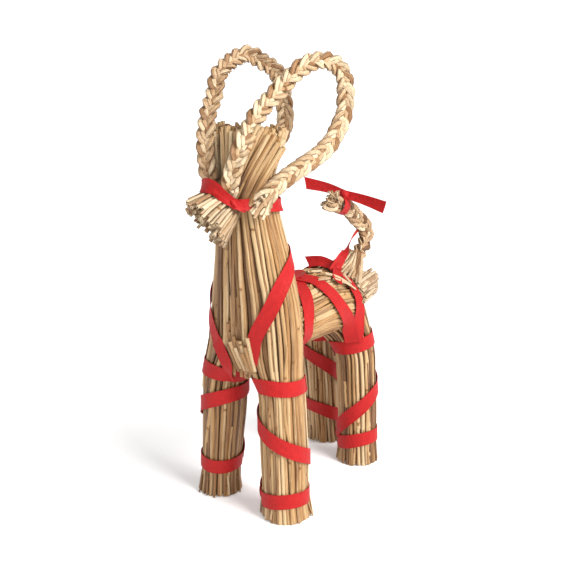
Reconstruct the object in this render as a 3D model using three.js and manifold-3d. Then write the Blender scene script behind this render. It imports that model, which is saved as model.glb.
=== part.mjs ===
// Straw goat bound with red ribbon, in the manner of a Scandinavian Yule goat.
// Millimetres, +Z up. The goat faces -Y and its left side is +X. The origin is on the ground,
// under the middle of its bounding box. Everything is tied together, so nothing moves.
import * as THREE from "three";
import { mergeVertices } from "three/addons/utils/BufferGeometryUtils.js";
import Module from "manifold-3d";

const wasm = await Module();
wasm.setup();

// ---------------------------------------------------------------- driving dimensions
const RIDGE = 0.55; // how far a straw stands proud of its bundle's mean surface, and dips between
const FIT_GAP = 0.35; // space kept between pieces that touch
const SEAM = 2; // how far each half of a split sheaf reaches past the goat's middle plane
const ARC_SHARE = 2 / 3; // share of a leg's straws that end up on the outside of the body

const RIBBON_WIDTH = 12;
const RIBBON_THICKNESS = 0.7;
const BOW_RIBBON_WIDTH = 9; // the ribbon is pinched where it is knotted
const RING_LIFT = 0.65; // a turn of ribbon lies this far off the straws' ridges
const CHEST_LIFT = 0.6; // the long neck turns bulge less
const GIRTH_LIFT = 1.3; // round a back that bends sideways
const SPIRAL_LIFT = 1.25; // and one that crosses other turns lies over them
const FINEST = 0.03; // no crease where ribbons cross is finer than this

const STRAWS_PER_HALF = 16; // ridges round one leg
const STRAWS_IN_MUZZLE = 13;
const BRAID_PITCH = 9; // from one chevron of a braid to the next
const BRAID_SIDES = 6;
const TUFT_FROM = 0.95; // share of a braid's length where its loose end starts to spread
const HEAD_RIBBON_STEPS = 24;
const TIE_STEPS = 10;
const GIRTH_STEPS = 14;
const FLANK_STEPS = 12;
const RUMP_STEPS = 9;
const BOW_STEPS = 6;
const KNOT_SIDES = 8;
const HORN_WIDTH = 12.5;
const HORN_THICKNESS = 9;
const HORN_FLARE = 0.3; // a horn's loose end is wider than its braid by this share
const TAIL_FLARE = 0.5;

// Each sheaf is two halves. A half is a leg whose straws run on into one side of the body.
// s runs along it from the foot. The section at s is centred on (y, z) in the goat's middle plane,
// and its depth points rearwards at lean 0 and upwards at lean 90 degrees. legX and legRadius shape
// the leg, bodyX, halfWidth and halfDepth the body, and merge goes from 0, leg, to 1, body.
const NECK = [
  { s: 104, y: -57.5, z: 104, bodyX: 2, halfWidth: 46, halfDepth: 18, merge: 0 },
  { s: 120, y: -57.5, z: 120, bodyX: 2.5, halfWidth: 45, halfDepth: 19, merge: 0.5 },
  { s: 136, y: -57.5, z: 136, bodyX: 3.5, halfWidth: 43.4, halfDepth: 20.5, merge: 1 },
  { s: 156, y: -57.5, z: 156, bodyX: 4, halfWidth: 41.5, halfDepth: 21.5, merge: 1 },
  { s: 180, y: -58, z: 180, bodyX: 4, halfWidth: 38.2, halfDepth: 22, merge: 1 },
  { s: 200, y: -59.5, z: 200, bodyX: 3.5, halfWidth: 33.9, halfDepth: 22, merge: 1 },
  { s: 216, y: -60.5, z: 216, bodyX: 3, halfWidth: 30.8, halfDepth: 21, merge: 1 },
  { s: 228, y: -61.5, z: 228, bodyX: 2.2, halfWidth: 28.4, halfDepth: 20, merge: 1 },
  { s: 241, y: -62.5, z: 241, bodyX: 1.2, halfWidth: 26.2, halfDepth: 18.5, merge: 1 },
  { s: 254, y: -64, z: 254, bodyX: -1, halfWidth: 26, halfDepth: 17.5, merge: 1 },
  { s: 266, y: -65, z: 266, bodyX: -3, halfWidth: 27.2, halfDepth: 17, merge: 1 },
  { s: 282, y: -65.5, z: 282, bodyX: -2.5, halfWidth: 32.3, halfDepth: 18, merge: 1 },
  { s: 298, y: -66, z: 298, bodyX: -1, halfWidth: 37, halfDepth: 19, merge: 1 },
];
const NECK_RINGS = [0, 14, 50, 80, 104, 120, 136, 156, 180, 200, 216, 241, 254, 266, 282, 298];
const CROWN_TOP = 308; // the cut ends of the crown's straws round over to this height

const FORELEG_LEFT = [
  { s: 0, y: -60, z: 0, legX: 35.5, legRadius: 19.2 },
  { s: 14, y: -60, z: 14, legX: 34.6, legRadius: 18 },
  { s: 50, y: -59.3, z: 50, legX: 33, legRadius: 18.6 },
  { s: 80, y: -58.5, z: 80, legX: 31, legRadius: 18.3 },
  { s: 104, y: -57.5, z: 104, legX: 29, legRadius: 18 },
  { s: 136, y: -57.5, z: 136, legX: 25, legRadius: 18 },
];
const FORELEG_RIGHT = [
  { s: 0, y: -55, z: 0, legX: 36.3, legRadius: 17.5 },
  { s: 14, y: -55.3, z: 14, legX: 35.6, legRadius: 16 },
  { s: 50, y: -56, z: 50, legX: 32, legRadius: 16.8 },
  { s: 80, y: -57, z: 80, legX: 28.8, legRadius: 17.8 },
  { s: 104, y: -57.5, z: 104, legX: 27.5, legRadius: 18 },
  { s: 136, y: -57.5, z: 136, legX: 25, legRadius: 18 },
];

const TORSO = [
  { s: 104, lean: 0, bodyX: 0, halfWidth: 40.5, halfDepth: 17.5, merge: 0 },
  { s: 124, lean: 20, bodyX: 0, halfWidth: 38.5, halfDepth: 20, merge: 0.5 },
  { s: 148, lean: 48, bodyX: 0, halfWidth: 36, halfDepth: 27, merge: 1 },
  { s: 172, lean: 76, bodyX: 0, halfWidth: 34, halfDepth: 27.5, merge: 1 },
  { s: 202, lean: 86, bodyX: 0, halfWidth: 32.5, halfDepth: 25, merge: 1 },
  { s: 265, lean: 90, bodyX: 0, halfWidth: 32.5, halfDepth: 23, merge: 1 },
];
const TORSO_RINGS = [0, 14, 55, 84, 104, 116, 130, 146, 160, 176, 202, 234, 265];
// The hind legs bend forward over the hips along these lines, the right one further back.
const BACK_LINE_LEFT = [
  { s: 104, y: 58.5, z: 104 },
  { s: 124, y: 54, z: 123.5 },
  { s: 148, y: 44, z: 144.5 },
  { s: 172, y: 23, z: 150.5 },
  { s: 202, y: -4, z: 148.5 },
  { s: 265, y: -60, z: 147 },
];
const BACK_LINE_RIGHT = [
  { s: 104, y: 73, z: 104 },
  { s: 124, y: 68.5, z: 123.5 },
  { s: 148, y: 57, z: 145 },
  { s: 172, y: 35, z: 151 },
  { s: 202, y: 4, z: 148.5 },
  { s: 265, y: -60, z: 147 },
];
const HIND_LEG_LEFT = [
  { s: 0, y: 62.5, z: 0, legX: 25.5, legRadius: 17.8 },
  { s: 14, y: 62.7, z: 14, legX: 25.2, legRadius: 16.6 },
  { s: 55, y: 62.3, z: 55, legX: 24.3, legRadius: 17 },
  { s: 84, y: 60.5, z: 84, legX: 23.5, legRadius: 17 },
  { s: 104, y: 58.5, z: 104, legX: 23, legRadius: 17.2 },
  { s: 148, y: 45, z: 140, legX: 19, legRadius: 18 },
];
const HIND_LEG_RIGHT = [
  { s: 0, y: 87, z: 0, legX: 25, legRadius: 17.3 },
  { s: 14, y: 85.5, z: 14, legX: 25, legRadius: 16.2 },
  { s: 55, y: 80, z: 55, legX: 24.3, legRadius: 16.5 },
  { s: 84, y: 76, z: 84, legX: 23.5, legRadius: 17 },
  { s: 104, y: 73, z: 104, legX: 23, legRadius: 17.2 },
  { s: 148, y: 60, z: 142, legX: 19, legRadius: 18 },
];
const KNEE = 104; // s where a leg starts to turn into its body

// The muzzle is a bundle that is flat where the ribbon pins it and flares to its cut ends.
const MUZZLE_ROOT = [0, -73, 253];
const MUZZLE_TIP = [-2, -105.5, 240.5];
const MUZZLE_SECTIONS = [
  { s: 0, across: 12, deep: 7 },
  { s: 0.4, across: 14, deep: 8 },
  { s: 0.72, across: 17.5, deep: 13 },
  { s: 1, across: 20, deep: 19 },
];

const HORN_LEFT = {
  facing: [0.7, -0.7, 0],
  line: [
    [5, -88.5, 262],
    [9, -89.5, 277],
    [18.5, -88.5, 298],
    [18, -72, 316],
    [21, -52, 331],
    [25, -41, 341],
    [30, -28, 350],
    [35, -14, 352.5],
    [38, 2, 348],
    [40, 10, 335],
    [40, 10, 317],
    [40, 3, 303],
    [40, -15, 288],
    [38, -37, 279],
    [34.5, -57, 271],
    [30, -71, 262.5],
    [26, -80, 253],
  ],
};
const HORN_RIGHT = {
  facing: [0.45, -0.89, 0],
  line: [
    [-10, -88.5, 262],
    [-15.5, -89, 276],
    [-17.5, -88, 297],
    [-22, -79, 315],
    [-26, -67, 328],
    [-29, -57, 343],
    [-31, -38, 352],
    [-31, -20, 356],
    [-29, -4, 350],
    [-26, 13, 339],
    [-22, 17, 313],
    [-20, 13, 297],
    [-22, 0, 281],
    [-25, -22, 268],
    [-27, -38, 258],
  ],
};

const TAIL = {
  facing: [0.9, -0.3, 0],
  line: [
    [-2, 86, 149],
    [-2, 91, 162],
    [-1, 94, 176],
    [0, 102.5, 184],
    [0, 110, 192],
    [0, 106, 202],
    [0, 92, 213],
    [0, 79, 223],
    [0, 61, 229.5],
    [0, 48, 234],
  ],
};
const TAIL_WIDTH = 12;
const TAIL_THICKNESS = 9;
// The short ends of the tail's straws, pinned under the ribbon, stick out over the rump.
const STUB_ROOT = [0, 76, 152];
const STUB_TIP = [6, 112.5, 147];
const STUB_SECTIONS = [
  { s: 0, across: 6, deep: 5 },
  { s: 0.5, across: 7, deep: 5.5 },
  { s: 1, across: 11, deep: 9 },
];
const STRAWS_IN_STUB = 7;

// A winding goes round one leg: a turn at the top, a spiral down, and a turn above the foot. Each
// turn has a mean height, and a tilt that lifts it on the side that angle names. The spiral's
// stations give its height by the angle turned through. All angles are in degrees.
const WINDINGS = {
  ribbon_foreleg_left: {
    top: { s: 107.5, tilt: 5.5, angle: 0 },
    bottom: { s: 18, tilt: 2, angle: 60 },
    spiral: [
      { s: 36, z: 110 },
      { s: 216, z: 80 },
      { s: 396, z: 49 },
      { s: 576, z: 19 },
    ],
  },
  ribbon_foreleg_right: {
    top: { s: 109, tilt: 6, angle: 0 },
    bottom: { s: 29, tilt: 1, angle: 60 },
    spiral: [
      { s: -250, z: 108 },
      { s: -216, z: 97 },
      { s: -126, z: 92 },
      { s: -36, z: 78 },
      { s: 54, z: 55 },
      { s: 144, z: 31 },
    ],
  },
  ribbon_hind_leg_left: {
    top: { s: 113, tilt: 3, angle: 40 },
    bottom: { s: 23, tilt: 3.5, angle: 40 },
    spiral: [
      { s: -144, z: 26 },
      { s: -81, z: 46 },
      { s: -7, z: 66 },
      { s: 36, z: 72 },
      { s: 216, z: 106 },
    ],
  },
  ribbon_hind_leg_right: {
    top: { s: 113, tilt: 2, angle: 0 },
    bottom: { s: 32, tilt: 6, angle: -30 },
    spiral: [
      { s: -330, z: 33 },
      { s: -216, z: 60 },
      { s: -126, z: 84 },
      { s: -36, z: 98 },
      { s: 20, z: 110 },
    ],
  },
};

// Ribbons on the neck and torso run by phi, the angle round the body, from 0 on the goat's left
// through 90 at the rear of the neck or the top of the torso. s counts along the ribbon here.
const CHEST_RIBBON = [
  { s: 0, phi: -73, at: 124 },
  { s: 1, phi: -70, at: 148 },
  { s: 2, phi: -51, at: 170 },
  { s: 3, phi: -25, at: 191 },
  { s: 4, phi: 15, at: 207 },
  { s: 5, phi: 60, at: 212 },
  { s: 6, phi: 110, at: 205 },
  { s: 7, phi: 160, at: 186 },
  { s: 8, phi: 200, at: 166 },
  { s: 9, phi: 235, at: 141 },
  { s: 10, phi: 260, at: 120 },
];
const GIRTH_RIBBON = [
  { s: 0, phi: -90, at: 220 },
  { s: 1, phi: -30, at: 226 },
  { s: 2, phi: 3, at: 229 },
  { s: 3, phi: 30, at: 223 },
  { s: 4, phi: 60, at: 211 },
  { s: 5, phi: 90, at: 200 },
];
const FLANK_RIBBON = [
  { s: 0, phi: 94, at: 199 },
  { s: 1, phi: 70, at: 192 },
  { s: 2, phi: 50, at: 190 },
  { s: 3, phi: 32, at: 187 },
  { s: 4, phi: 10, at: 181 },
  { s: 5, phi: -14, at: 167 },
  { s: 6, phi: -34, at: 146 },
  { s: 7, phi: -42, at: 130 },
];
const RUMP_RIBBON = [
  { s: 0, phi: 84, at: 160 },
  { s: 1, phi: 40, at: 160 },
  { s: 2, phi: 20, at: 156 },
  { s: 3, phi: 0, at: 151 },
  { s: 4, phi: -18, at: 142 },
  { s: 5, phi: -34, at: 130 },
];

// The head ribbon goes round the neck and up over the roots of the muzzle and horns.
const HEAD_RIBBON = [
  [28.5, -63, 247],
  [25, -74, 247],
  [14.5, -87, 249],
  [4, -94.5, 255],
  [-8, -96.5, 260],
  [-19.5, -91, 262.5],
  [-28, -77, 261.5],
  [-30.5, -64, 260],
  [-25, -50, 257],
  [-10, -44.5, 254],
  [8, -44, 251],
  [23, -50.5, 248.5],
];

// ---------------------------------------------------------------- the bows
const BACK_KNOT = [8, 51, 174.5];
const BACK_BOW_TAILS = [
  { facing: [0.2, -0.55, 0.8], line: [[7, 51, 175], [-6, 54, 178], [-17, 54, 180], [-29, 51, 178.5]] },
  { facing: [0.3, 0, 1], line: [[9, 50, 176], [13, 40, 177], [16, 31, 175]] },
];
const TAIL_BOW_AT = 0.82; // share of the tail's length where its ribbon is tied
const TAIL_TIE_SIZE = [7.6, 6.4]; // half width and half depth of the turn that ties it
const BACK_KNOT_SIZE = [6.5, 8, 5];
const TAIL_KNOT_SIZE = [6, 4.5, 4.5];
const TAIL_KNOT = [1, 73.5, 235];
const STRAND_WIDTH = 5; // the ribbon twists thin on its way from the back up to the tail
const TAIL_STRAND = {
  facing: [1, -0.4, 0.2],
  line: [[8, 53, 177], [9, 64, 189], [9, 76, 200], [9, 88, 205]],
};
const TAIL_BOW_STRIP = {
  facing: [0.1, -0.9, 0.45],
  line: [[-35, 67, 241.5], [-16, 72, 238], [0, 74, 234.5], [20, 74, 231], [43, 70, 227.5]],
};

// ---------------------------------------------------------------- colours
const STRAW_COLOUR = 0xd9b078;
const BRAID_COLOUR = 0xe0c294;
const RIBBON_COLOUR = 0xd3262b;

// ---------------------------------------------------------------- small geometry helpers
const vector = (list) => new THREE.Vector3(...list);
const degrees = (value) => (value * Math.PI) / 180;

// The fields of a list of stations at s, on a smooth line through them.
function sample(stations, s) {
  const last = stations.length - 1;
  let i = 0;
  while (i < last - 1 && s > stations[i + 1].s) i += 1;
  const a = stations[i];
  const b = stations[i + 1];
  const before = stations[Math.max(i - 1, 0)];
  const after = stations[Math.min(i + 2, last)];
  const span = b.s - a.s;
  const t = THREE.MathUtils.clamp((s - a.s) / span, 0, 1);
  const out = { s };
  for (const key of Object.keys(a)) {
    if (key === "s") continue;
    const slopeA = ((b[key] - before[key]) / (b.s - before.s)) * span;
    const slopeB = ((after[key] - a[key]) / (after.s - a.s)) * span;
    const h = 1 - 3 * t * t + 2 * t * t * t;
    out[key] =
      h * a[key] +
      (1 - h) * b[key] +
      (t - 2 * t * t + t * t * t) * slopeA +
      (t * t * t - t * t) * slopeB;
  }
  return out;
}

// Triangles between rings of equal point count. An open stack is closed by a fan on each end,
// and a looped one runs from the last ring back to the first. A thin one has both its faces split
// along the same diagonals, so that it keeps its thickness where it twists.
function loft(rings, { looped = false, endTip = null, thin = false } = {}) {
  const count = rings[0].length;
  const points = rings.flat();
  const faces = [];
  const spans = looped ? rings.length : rings.length - 1;
  for (let r = 0; r < spans; r += 1) {
    const here = r * count;
    const there = ((r + 1) % rings.length) * count;
    for (let k = 0; k < count; k += 1) {
      const next = (k + 1) % count;
      const [a, b, c, d] = [here + k, here + next, there + next, there + k];
      if (thin && k >= count / 2) faces.push([a, b, d], [b, c, d]);
      else faces.push([a, b, c], [a, c, d]);
    }
  }
  if (!looped) {
    const middle = (ring) => {
      const sum = ring.reduce((total, p) => total.add(p), new THREE.Vector3());
      return sum.divideScalar(count);
    };
    const first = points.push(middle(rings[0])) - 1;
    const last = points.push(endTip || middle(rings[rings.length - 1])) - 1;
    const top = (rings.length - 1) * count;
    for (let k = 0; k < count; k += 1) {
      const next = (k + 1) % count;
      faces.push([first, next, k], [last, top + k, top + next]);
    }
  }
  return solid(points, faces);
}

// A manifold solid from points and faces, turned right side out.
function solid(points, faces) {
  const geometry = new THREE.BufferGeometry();
  geometry.setAttribute(
    "position",
    new THREE.Float32BufferAttribute(points.flatMap((p) => [p.x, p.y, p.z]), 3),
  );
  geometry.setIndex(faces.flat());
  const merged = mergeVertices(geometry, 1e-3);
  const position = merged.attributes.position.array;
  const index = new Uint32Array(merged.index.array);
  let volume = 0;
  for (let i = 0; i < index.length; i += 3) {
    const [a, b, c] = [0, 1, 2].map((k) => new THREE.Vector3().fromArray(position, index[i + k] * 3));
    volume += a.dot(b.cross(c));
  }
  if (volume < 0) {
    for (let i = 0; i < index.length; i += 3) {
      [index[i + 1], index[i + 2]] = [index[i + 2], index[i + 1]];
    }
  }
  return new wasm.Manifold(
    new wasm.Mesh({ numProp: 3, vertProperties: position, triVerts: index }),
  );
}

// ---------------------------------------------------------------- sheaves
// One half of a sheaf. point(s, theta, lift) is on its skin, theta 0 facing outwards and 90 degrees
// facing rearwards on a leg and upwards on the torso, and lift millimetres out from the mean surface.
function half(side, leg, line, body) {
  function section(s) {
    const limb = sample(leg, s);
    const trunk = sample(body, s);
    const centre = s < KNEE ? limb : sample(line, s);
    return { ...trunk, legX: limb.legX, legRadius: limb.legRadius, y: centre.y, z: centre.z };
  }
  function point(s, theta, lift = 0) {
    const at = section(s);
    const turn = Math.atan2(Math.sin(theta), Math.cos(theta));
    const radius = at.legRadius + lift;
    let u = at.legX + radius * Math.cos(turn);
    let v = radius * Math.sin(turn);
    const merge = THREE.MathUtils.clamp(at.merge, 0, 1);
    if (merge > 0) {
      const limit = Math.PI * ARC_SHARE;
      let bodyU;
      let bodyV;
      if (Math.abs(turn) <= limit) {
        const phi = (turn / limit) * (Math.PI / 2);
        bodyU = (at.halfWidth + lift) * Math.cos(phi);
        bodyV = (at.halfDepth + lift) * Math.sin(phi);
      } else {
        const inwards = (Math.abs(turn) - limit) / (Math.PI - limit);
        bodyU = -SEAM * Math.sin((inwards * Math.PI) / 2);
        bodyV = Math.sign(turn) * (at.halfDepth + lift) * (1 - inwards);
      }
      u += (bodyU + side * at.bodyX - u) * merge;
      v += (bodyV - v) * merge;
    }
    const lean = degrees(at.lean || 0);
    return new THREE.Vector3(side * u, at.y + v * Math.cos(lean), at.z + v * Math.sin(lean));
  }
  return { side, section, point };
}

const foreLeft = half(1, FORELEG_LEFT, NECK, NECK);
const foreRight = half(-1, FORELEG_RIGHT, NECK, NECK);
const hindLeft = half(1, HIND_LEG_LEFT, BACK_LINE_LEFT, TORSO);
const hindRight = half(-1, HIND_LEG_RIGHT, BACK_LINE_RIGHT, TORSO);

// The skin of one half, its straws as ridges with valleys between. A grown skin is smooth and
// clears the straws by the fit gap.
function halfSkin(side, stops, grown = false) {
  const count = STRAWS_PER_HALF * 2;
  const rings = stops.map((s) =>
    Array.from({ length: count }, (_, k) => {
      const lift = k % 2 ? -RIDGE : RIDGE;
      return side.point(s, (k / count) * 2 * Math.PI, grown ? RIDGE + FIT_GAP : lift);
    }),
  );
  return rings;
}

function neckSheaf(grown = false) {
  const halves = [foreLeft, foreRight].map((one) => {
    const rings = halfSkin(one, NECK_RINGS, grown);
    const rim = rings[rings.length - 1];
    const middle = rim.reduce((sum, p) => sum.add(p), new THREE.Vector3()).divideScalar(rim.length);
    rings.push(rim.map((p) => p.clone().lerp(middle, 0.3).setZ(CROWN_TOP - 2)));
    return loft(rings, { endTip: middle.clone().setZ(CROWN_TOP) });
  });
  return halves[0].add(halves[1]);
}

function torsoSheaf(grown = false) {
  const halves = [hindLeft, hindRight].map((one) => loft(halfSkin(one, TORSO_RINGS, grown)));
  return halves[0].add(halves[1]);
}

// A short flared bundle of straws with ragged cut ends, from its root to its tip.
function stub(rootPlace, tipPlace, sections, straws, grown = false) {
  const root = vector(rootPlace);
  const tip = vector(tipPlace);
  const axis = tip.clone().sub(root).normalize();
  const across = new THREE.Vector3(1, 0, 0).addScaledVector(axis, -axis.x).normalize();
  const deep = new THREE.Vector3().crossVectors(across, axis);
  const length = root.distanceTo(tip);
  const count = straws * 2;
  const rings = sections.map((section) =>
    Array.from({ length: count }, (_, k) => {
      const angle = (k / count) * 2 * Math.PI;
      const ridge = grown ? RIDGE + FIT_GAP : (k % 2 ? -1.4 : 1) * RIDGE;
      const ragged = section.s === 1 && !grown ? ((k * 5) % 7) * 0.4 - 1.2 : 0;
      return root
        .clone()
        .addScaledVector(axis, section.s * length + ragged)
        .addScaledVector(across, (section.across + ridge) * Math.cos(angle))
        .addScaledVector(deep, (section.deep + ridge) * Math.sin(angle));
    }),
  );
  return loft(rings);
}

// ---------------------------------------------------------------- braids
// An oval plait along a line. Every other ring swells, and each ring is pulled into a chevron, so
// the ridges lie as the crossing strands do.
function braid({ line, facing }, width, thickness, tuft, grown = false) {
  const curve = new THREE.CatmullRomCurve3(line.map(vector), false, "centripetal");
  const steps = Math.round(curve.getLength() / (BRAID_PITCH / 2));
  const rings = [];
  for (let i = 0; i <= steps; i += 1) {
    const at = i / steps;
    const centre = curve.getPointAt(at);
    const tangent = curve.getTangentAt(at);
    const face = vector(facing).addScaledVector(tangent, -tangent.dot(vector(facing))).normalize();
    const wide = new THREE.Vector3().crossVectors(tangent, face);
    const ring = [];
    const swell = grown ? 1.25 : i % 2 ? 0.9 : 1.1;
    const flare = 1 + tuft * Math.max(0, (at - TUFT_FROM) / (1 - TUFT_FROM));
    for (let k = 0; k < BRAID_SIDES; k += 1) {
      const angle = ((k + 0.5) / BRAID_SIDES) * 2 * Math.PI;
      const edge = grown ? 1.15 : 1 + 0.1 * (i % 4 < 2 ? 1 : -1) * Math.sign(Math.cos(angle));
      const u = (width / 2) * Math.cos(angle) * edge * flare;
      const v = (thickness / 2) * Math.sin(angle) * swell * flare;
      const pulled = i === 0 || i === steps ? 0 : -0.35 * Math.abs(u);
      const corner = centre.clone().addScaledVector(wide, u).addScaledVector(face, v);
      ring.push(corner.addScaledVector(tangent, pulled));
    }
    rings.push(ring);
  }
  return loft(rings);
}

// ---------------------------------------------------------------- ribbons
// A flat band along a route. route(t) gives the point and its outward normal for t from 0 to 1.
function band(route, steps, { width = RIBBON_WIDTH, looped = false } = {}) {
  const places = Array.from({ length: looped ? steps : steps + 1 }, (_, i) => route(i / steps));
  const rings = places.map(({ point, normal }, i) => {
    const last = places.length - 1;
    const after = places[looped ? (i + 1) % places.length : Math.min(i + 1, last)].point;
    const before = places[looped ? (i + last) % places.length : Math.max(i - 1, 0)].point;
    const heading = after.clone().sub(before).normalize();
    const across = new THREE.Vector3().crossVectors(heading, normal).normalize();
    const low = point.clone().addScaledVector(across, -width / 2);
    const high = point.clone().addScaledVector(across, width / 2);
    const out = normal.clone().multiplyScalar(RIBBON_THICKNESS);
    return [low, high, high.clone().add(out), low.clone().add(out)];
  });
  return loft(rings, { looped, thin: true });
}

// A place on one half of a sheaf, clear of its straws, with the outward normal there.
function onSkin(one, s, theta, lift = 0) {
  const up = RIDGE + FIT_GAP + lift;
  const point = one.point(s, theta, up);
  const alongSkin = one.point(s + 1, theta, up).sub(one.point(s - 1, theta, up));
  const roundSkin = one.point(s, theta + 0.05, up).sub(one.point(s, theta - 0.05, up));
  const normal = new THREE.Vector3().crossVectors(roundSkin, alongSkin).normalize();
  if (one.side < 0) normal.negate();
  return { point, normal };
}

// A ribbon wound down one leg. Its points lie on the ridges, so it bridges the valleys. Its top
// turn is kept clear of the fork between the legs.
function legRibbon(one, { top, bottom, spiral }, fork) {
  const turn = ({ s: height, tilt, angle }) =>
    band(
      (t) => {
        const theta = t * 2 * Math.PI;
        return onSkin(one, height + tilt * Math.cos(theta - degrees(angle)), theta, RING_LIFT);
      },
      STRAWS_PER_HALF,
      { looped: true },
    );
  const first = spiral[0].s;
  const last = spiral[spiral.length - 1].s;
  const ridges = Math.round((Math.abs(last - first) / 360) * STRAWS_PER_HALF);
  const wound = band((t) => {
    const angle = THREE.MathUtils.lerp(first, last, t);
    return onSkin(one, sample(spiral, angle).z, degrees(angle), SPIRAL_LIFT);
  }, ridges);
  return turn(top).subtract(fork).add(wound).add(turn(bottom));
}

// A place round the neck or torso by phi, from 0 on the goat's left through 90 degrees at the rear
// or top, as the two halves meet in one oval there.
function onBody([left, right], s, phi, lift = 0) {
  const turn = Math.atan2(Math.sin(phi), Math.cos(phi));
  const onLeft = Math.abs(turn) <= Math.PI / 2;
  const from = onLeft ? turn : Math.sign(turn) * (Math.PI - Math.abs(turn));
  return onSkin(onLeft ? left : right, s, from * 2 * ARC_SHARE * 0.999, lift);
}

// A ribbon round a body along its stations, or mirrored onto the goat's right side.
function bodyRibbon(halves, stations, steps, { mirrored = false, lift = RING_LIFT } = {}) {
  const last = stations[stations.length - 1].s;
  return band((t) => {
    const { phi, at } = sample(stations, t * last);
    return onBody(halves, at, degrees(mirrored ? 180 - phi : phi), lift);
  }, steps);
}

// A loose band through a list of points, its face turned towards facing.
function looseBand({ line, facing }, steps, width) {
  const curve = new THREE.CatmullRomCurve3(line.map(vector));
  const normal = vector(facing).normalize();
  return band((t) => ({ point: curve.getPoint(t), normal }), steps, { width });
}

// The ribbon that pins the muzzle and horns, a closed turn that faces out from the neck.
function headRibbon(line) {
  const curve = new THREE.CatmullRomCurve3(line.map(vector), true);
  const axis = vector(MUZZLE_ROOT);
  return band(
    (t) => {
      const point = curve.getPoint(t);
      return { point, normal: point.clone().sub(axis).setZ(0).normalize() };
    },
    HEAD_RIBBON_STEPS,
    { looped: true },
  );
}

// A closed turn of ribbon round a braid, at a share of its length.
function tie({ line, facing }, share, [wideBy, deepBy]) {
  const curve = new THREE.CatmullRomCurve3(line.map(vector), false, "centripetal");
  const centre = curve.getPointAt(share);
  const tangent = curve.getTangentAt(share);
  const deep = vector(facing).addScaledVector(tangent, -tangent.dot(vector(facing))).normalize();
  const wide = new THREE.Vector3().crossVectors(tangent, deep);
  return band(
    (t) => {
      const angle = t * 2 * Math.PI;
      const normal = wide.clone().multiplyScalar(Math.cos(angle)).addScaledVector(deep, Math.sin(angle));
      const point = centre.clone().addScaledVector(wide, wideBy * Math.cos(angle));
      return { point: point.addScaledVector(deep, deepBy * Math.sin(angle)), normal };
    },
    TIE_STEPS,
    { width: BOW_RIBBON_WIDTH, looped: true },
  );
}

// A knot as a small rounded lump, with half sizes along x, y and z.
function knot(place, [sizeX, sizeY, sizeZ]) {
  const lump = new THREE.SphereGeometry(1, KNOT_SIDES, KNOT_SIDES / 2);
  lump.deleteAttribute("normal");
  lump.deleteAttribute("uv");
  const whole = mergeVertices(lump, 1e-3).scale(sizeX, sizeY, sizeZ).translate(...place);
  const position = whole.attributes.position;
  const points = Array.from({ length: position.count }, (_, k) =>
    new THREE.Vector3().fromBufferAttribute(position, k),
  );
  const corners = Array.from(whole.index.array);
  const faces = corners.filter((_, k) => k % 3 === 0).map((_, k) => corners.slice(3 * k, 3 * k + 3));
  return solid(points, faces);
}

// ---------------------------------------------------------------- the goat
const straw = new THREE.MeshStandardMaterial({ color: STRAW_COLOUR, roughness: 0.6 });
const plait = new THREE.MeshStandardMaterial({ color: BRAID_COLOUR, roughness: 0.55 });
const ribbon = new THREE.MeshStandardMaterial({ color: RIBBON_COLOUR, roughness: 0.5 });

const pieces = new Map();
const neck = [foreLeft, foreRight];
const torso = [hindLeft, hindRight];
const clearOfNeck = neckSheaf(true);
const clearOfTorso = torsoSheaf(true);
const muzzleShape = [MUZZLE_ROOT, MUZZLE_TIP, MUZZLE_SECTIONS, STRAWS_IN_MUZZLE];
const clearOfMuzzle = stub(...muzzleShape, true);

pieces.set("neck_and_forelegs", [neckSheaf(), straw]);
pieces.set("torso_and_hind_legs", [torsoSheaf().subtract(clearOfNeck), straw]);
pieces.set("muzzle", [stub(...muzzleShape).subtract(clearOfNeck), straw]);
for (const [name, horn] of [["horn_left", HORN_LEFT], ["horn_right", HORN_RIGHT]]) {
  const shape = braid(horn, HORN_WIDTH, HORN_THICKNESS, HORN_FLARE);
  pieces.set(name, [shape.subtract(clearOfNeck).subtract(clearOfMuzzle), plait]);
}
const tailBraid = braid(TAIL, TAIL_WIDTH, TAIL_THICKNESS, TAIL_FLARE);
const tailStub = stub(STUB_ROOT, STUB_TIP, STUB_SECTIONS, STRAWS_IN_STUB);
pieces.set("tail", [tailBraid.add(tailStub).subtract(clearOfTorso), plait]);

const legs = [...neck, ...torso];
Object.entries(WINDINGS).forEach(([name, winding], i) => {
  const fork = i < neck.length ? clearOfNeck : clearOfTorso;
  pieces.set(name, [legRibbon(legs[i], winding, fork), ribbon]);
});
pieces.set("ribbon_chest", [bodyRibbon(neck, CHEST_RIBBON, 34, { lift: CHEST_LIFT }), ribbon]);

let pin = headRibbon(HEAD_RIBBON);
for (const horn of [HORN_LEFT, HORN_RIGHT]) {
  pin = pin.subtract(braid(horn, HORN_WIDTH, HORN_THICKNESS, HORN_FLARE, true));
}
pieces.set("ribbon_head", [pin.subtract(clearOfNeck).subtract(clearOfMuzzle), ribbon]);

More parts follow.
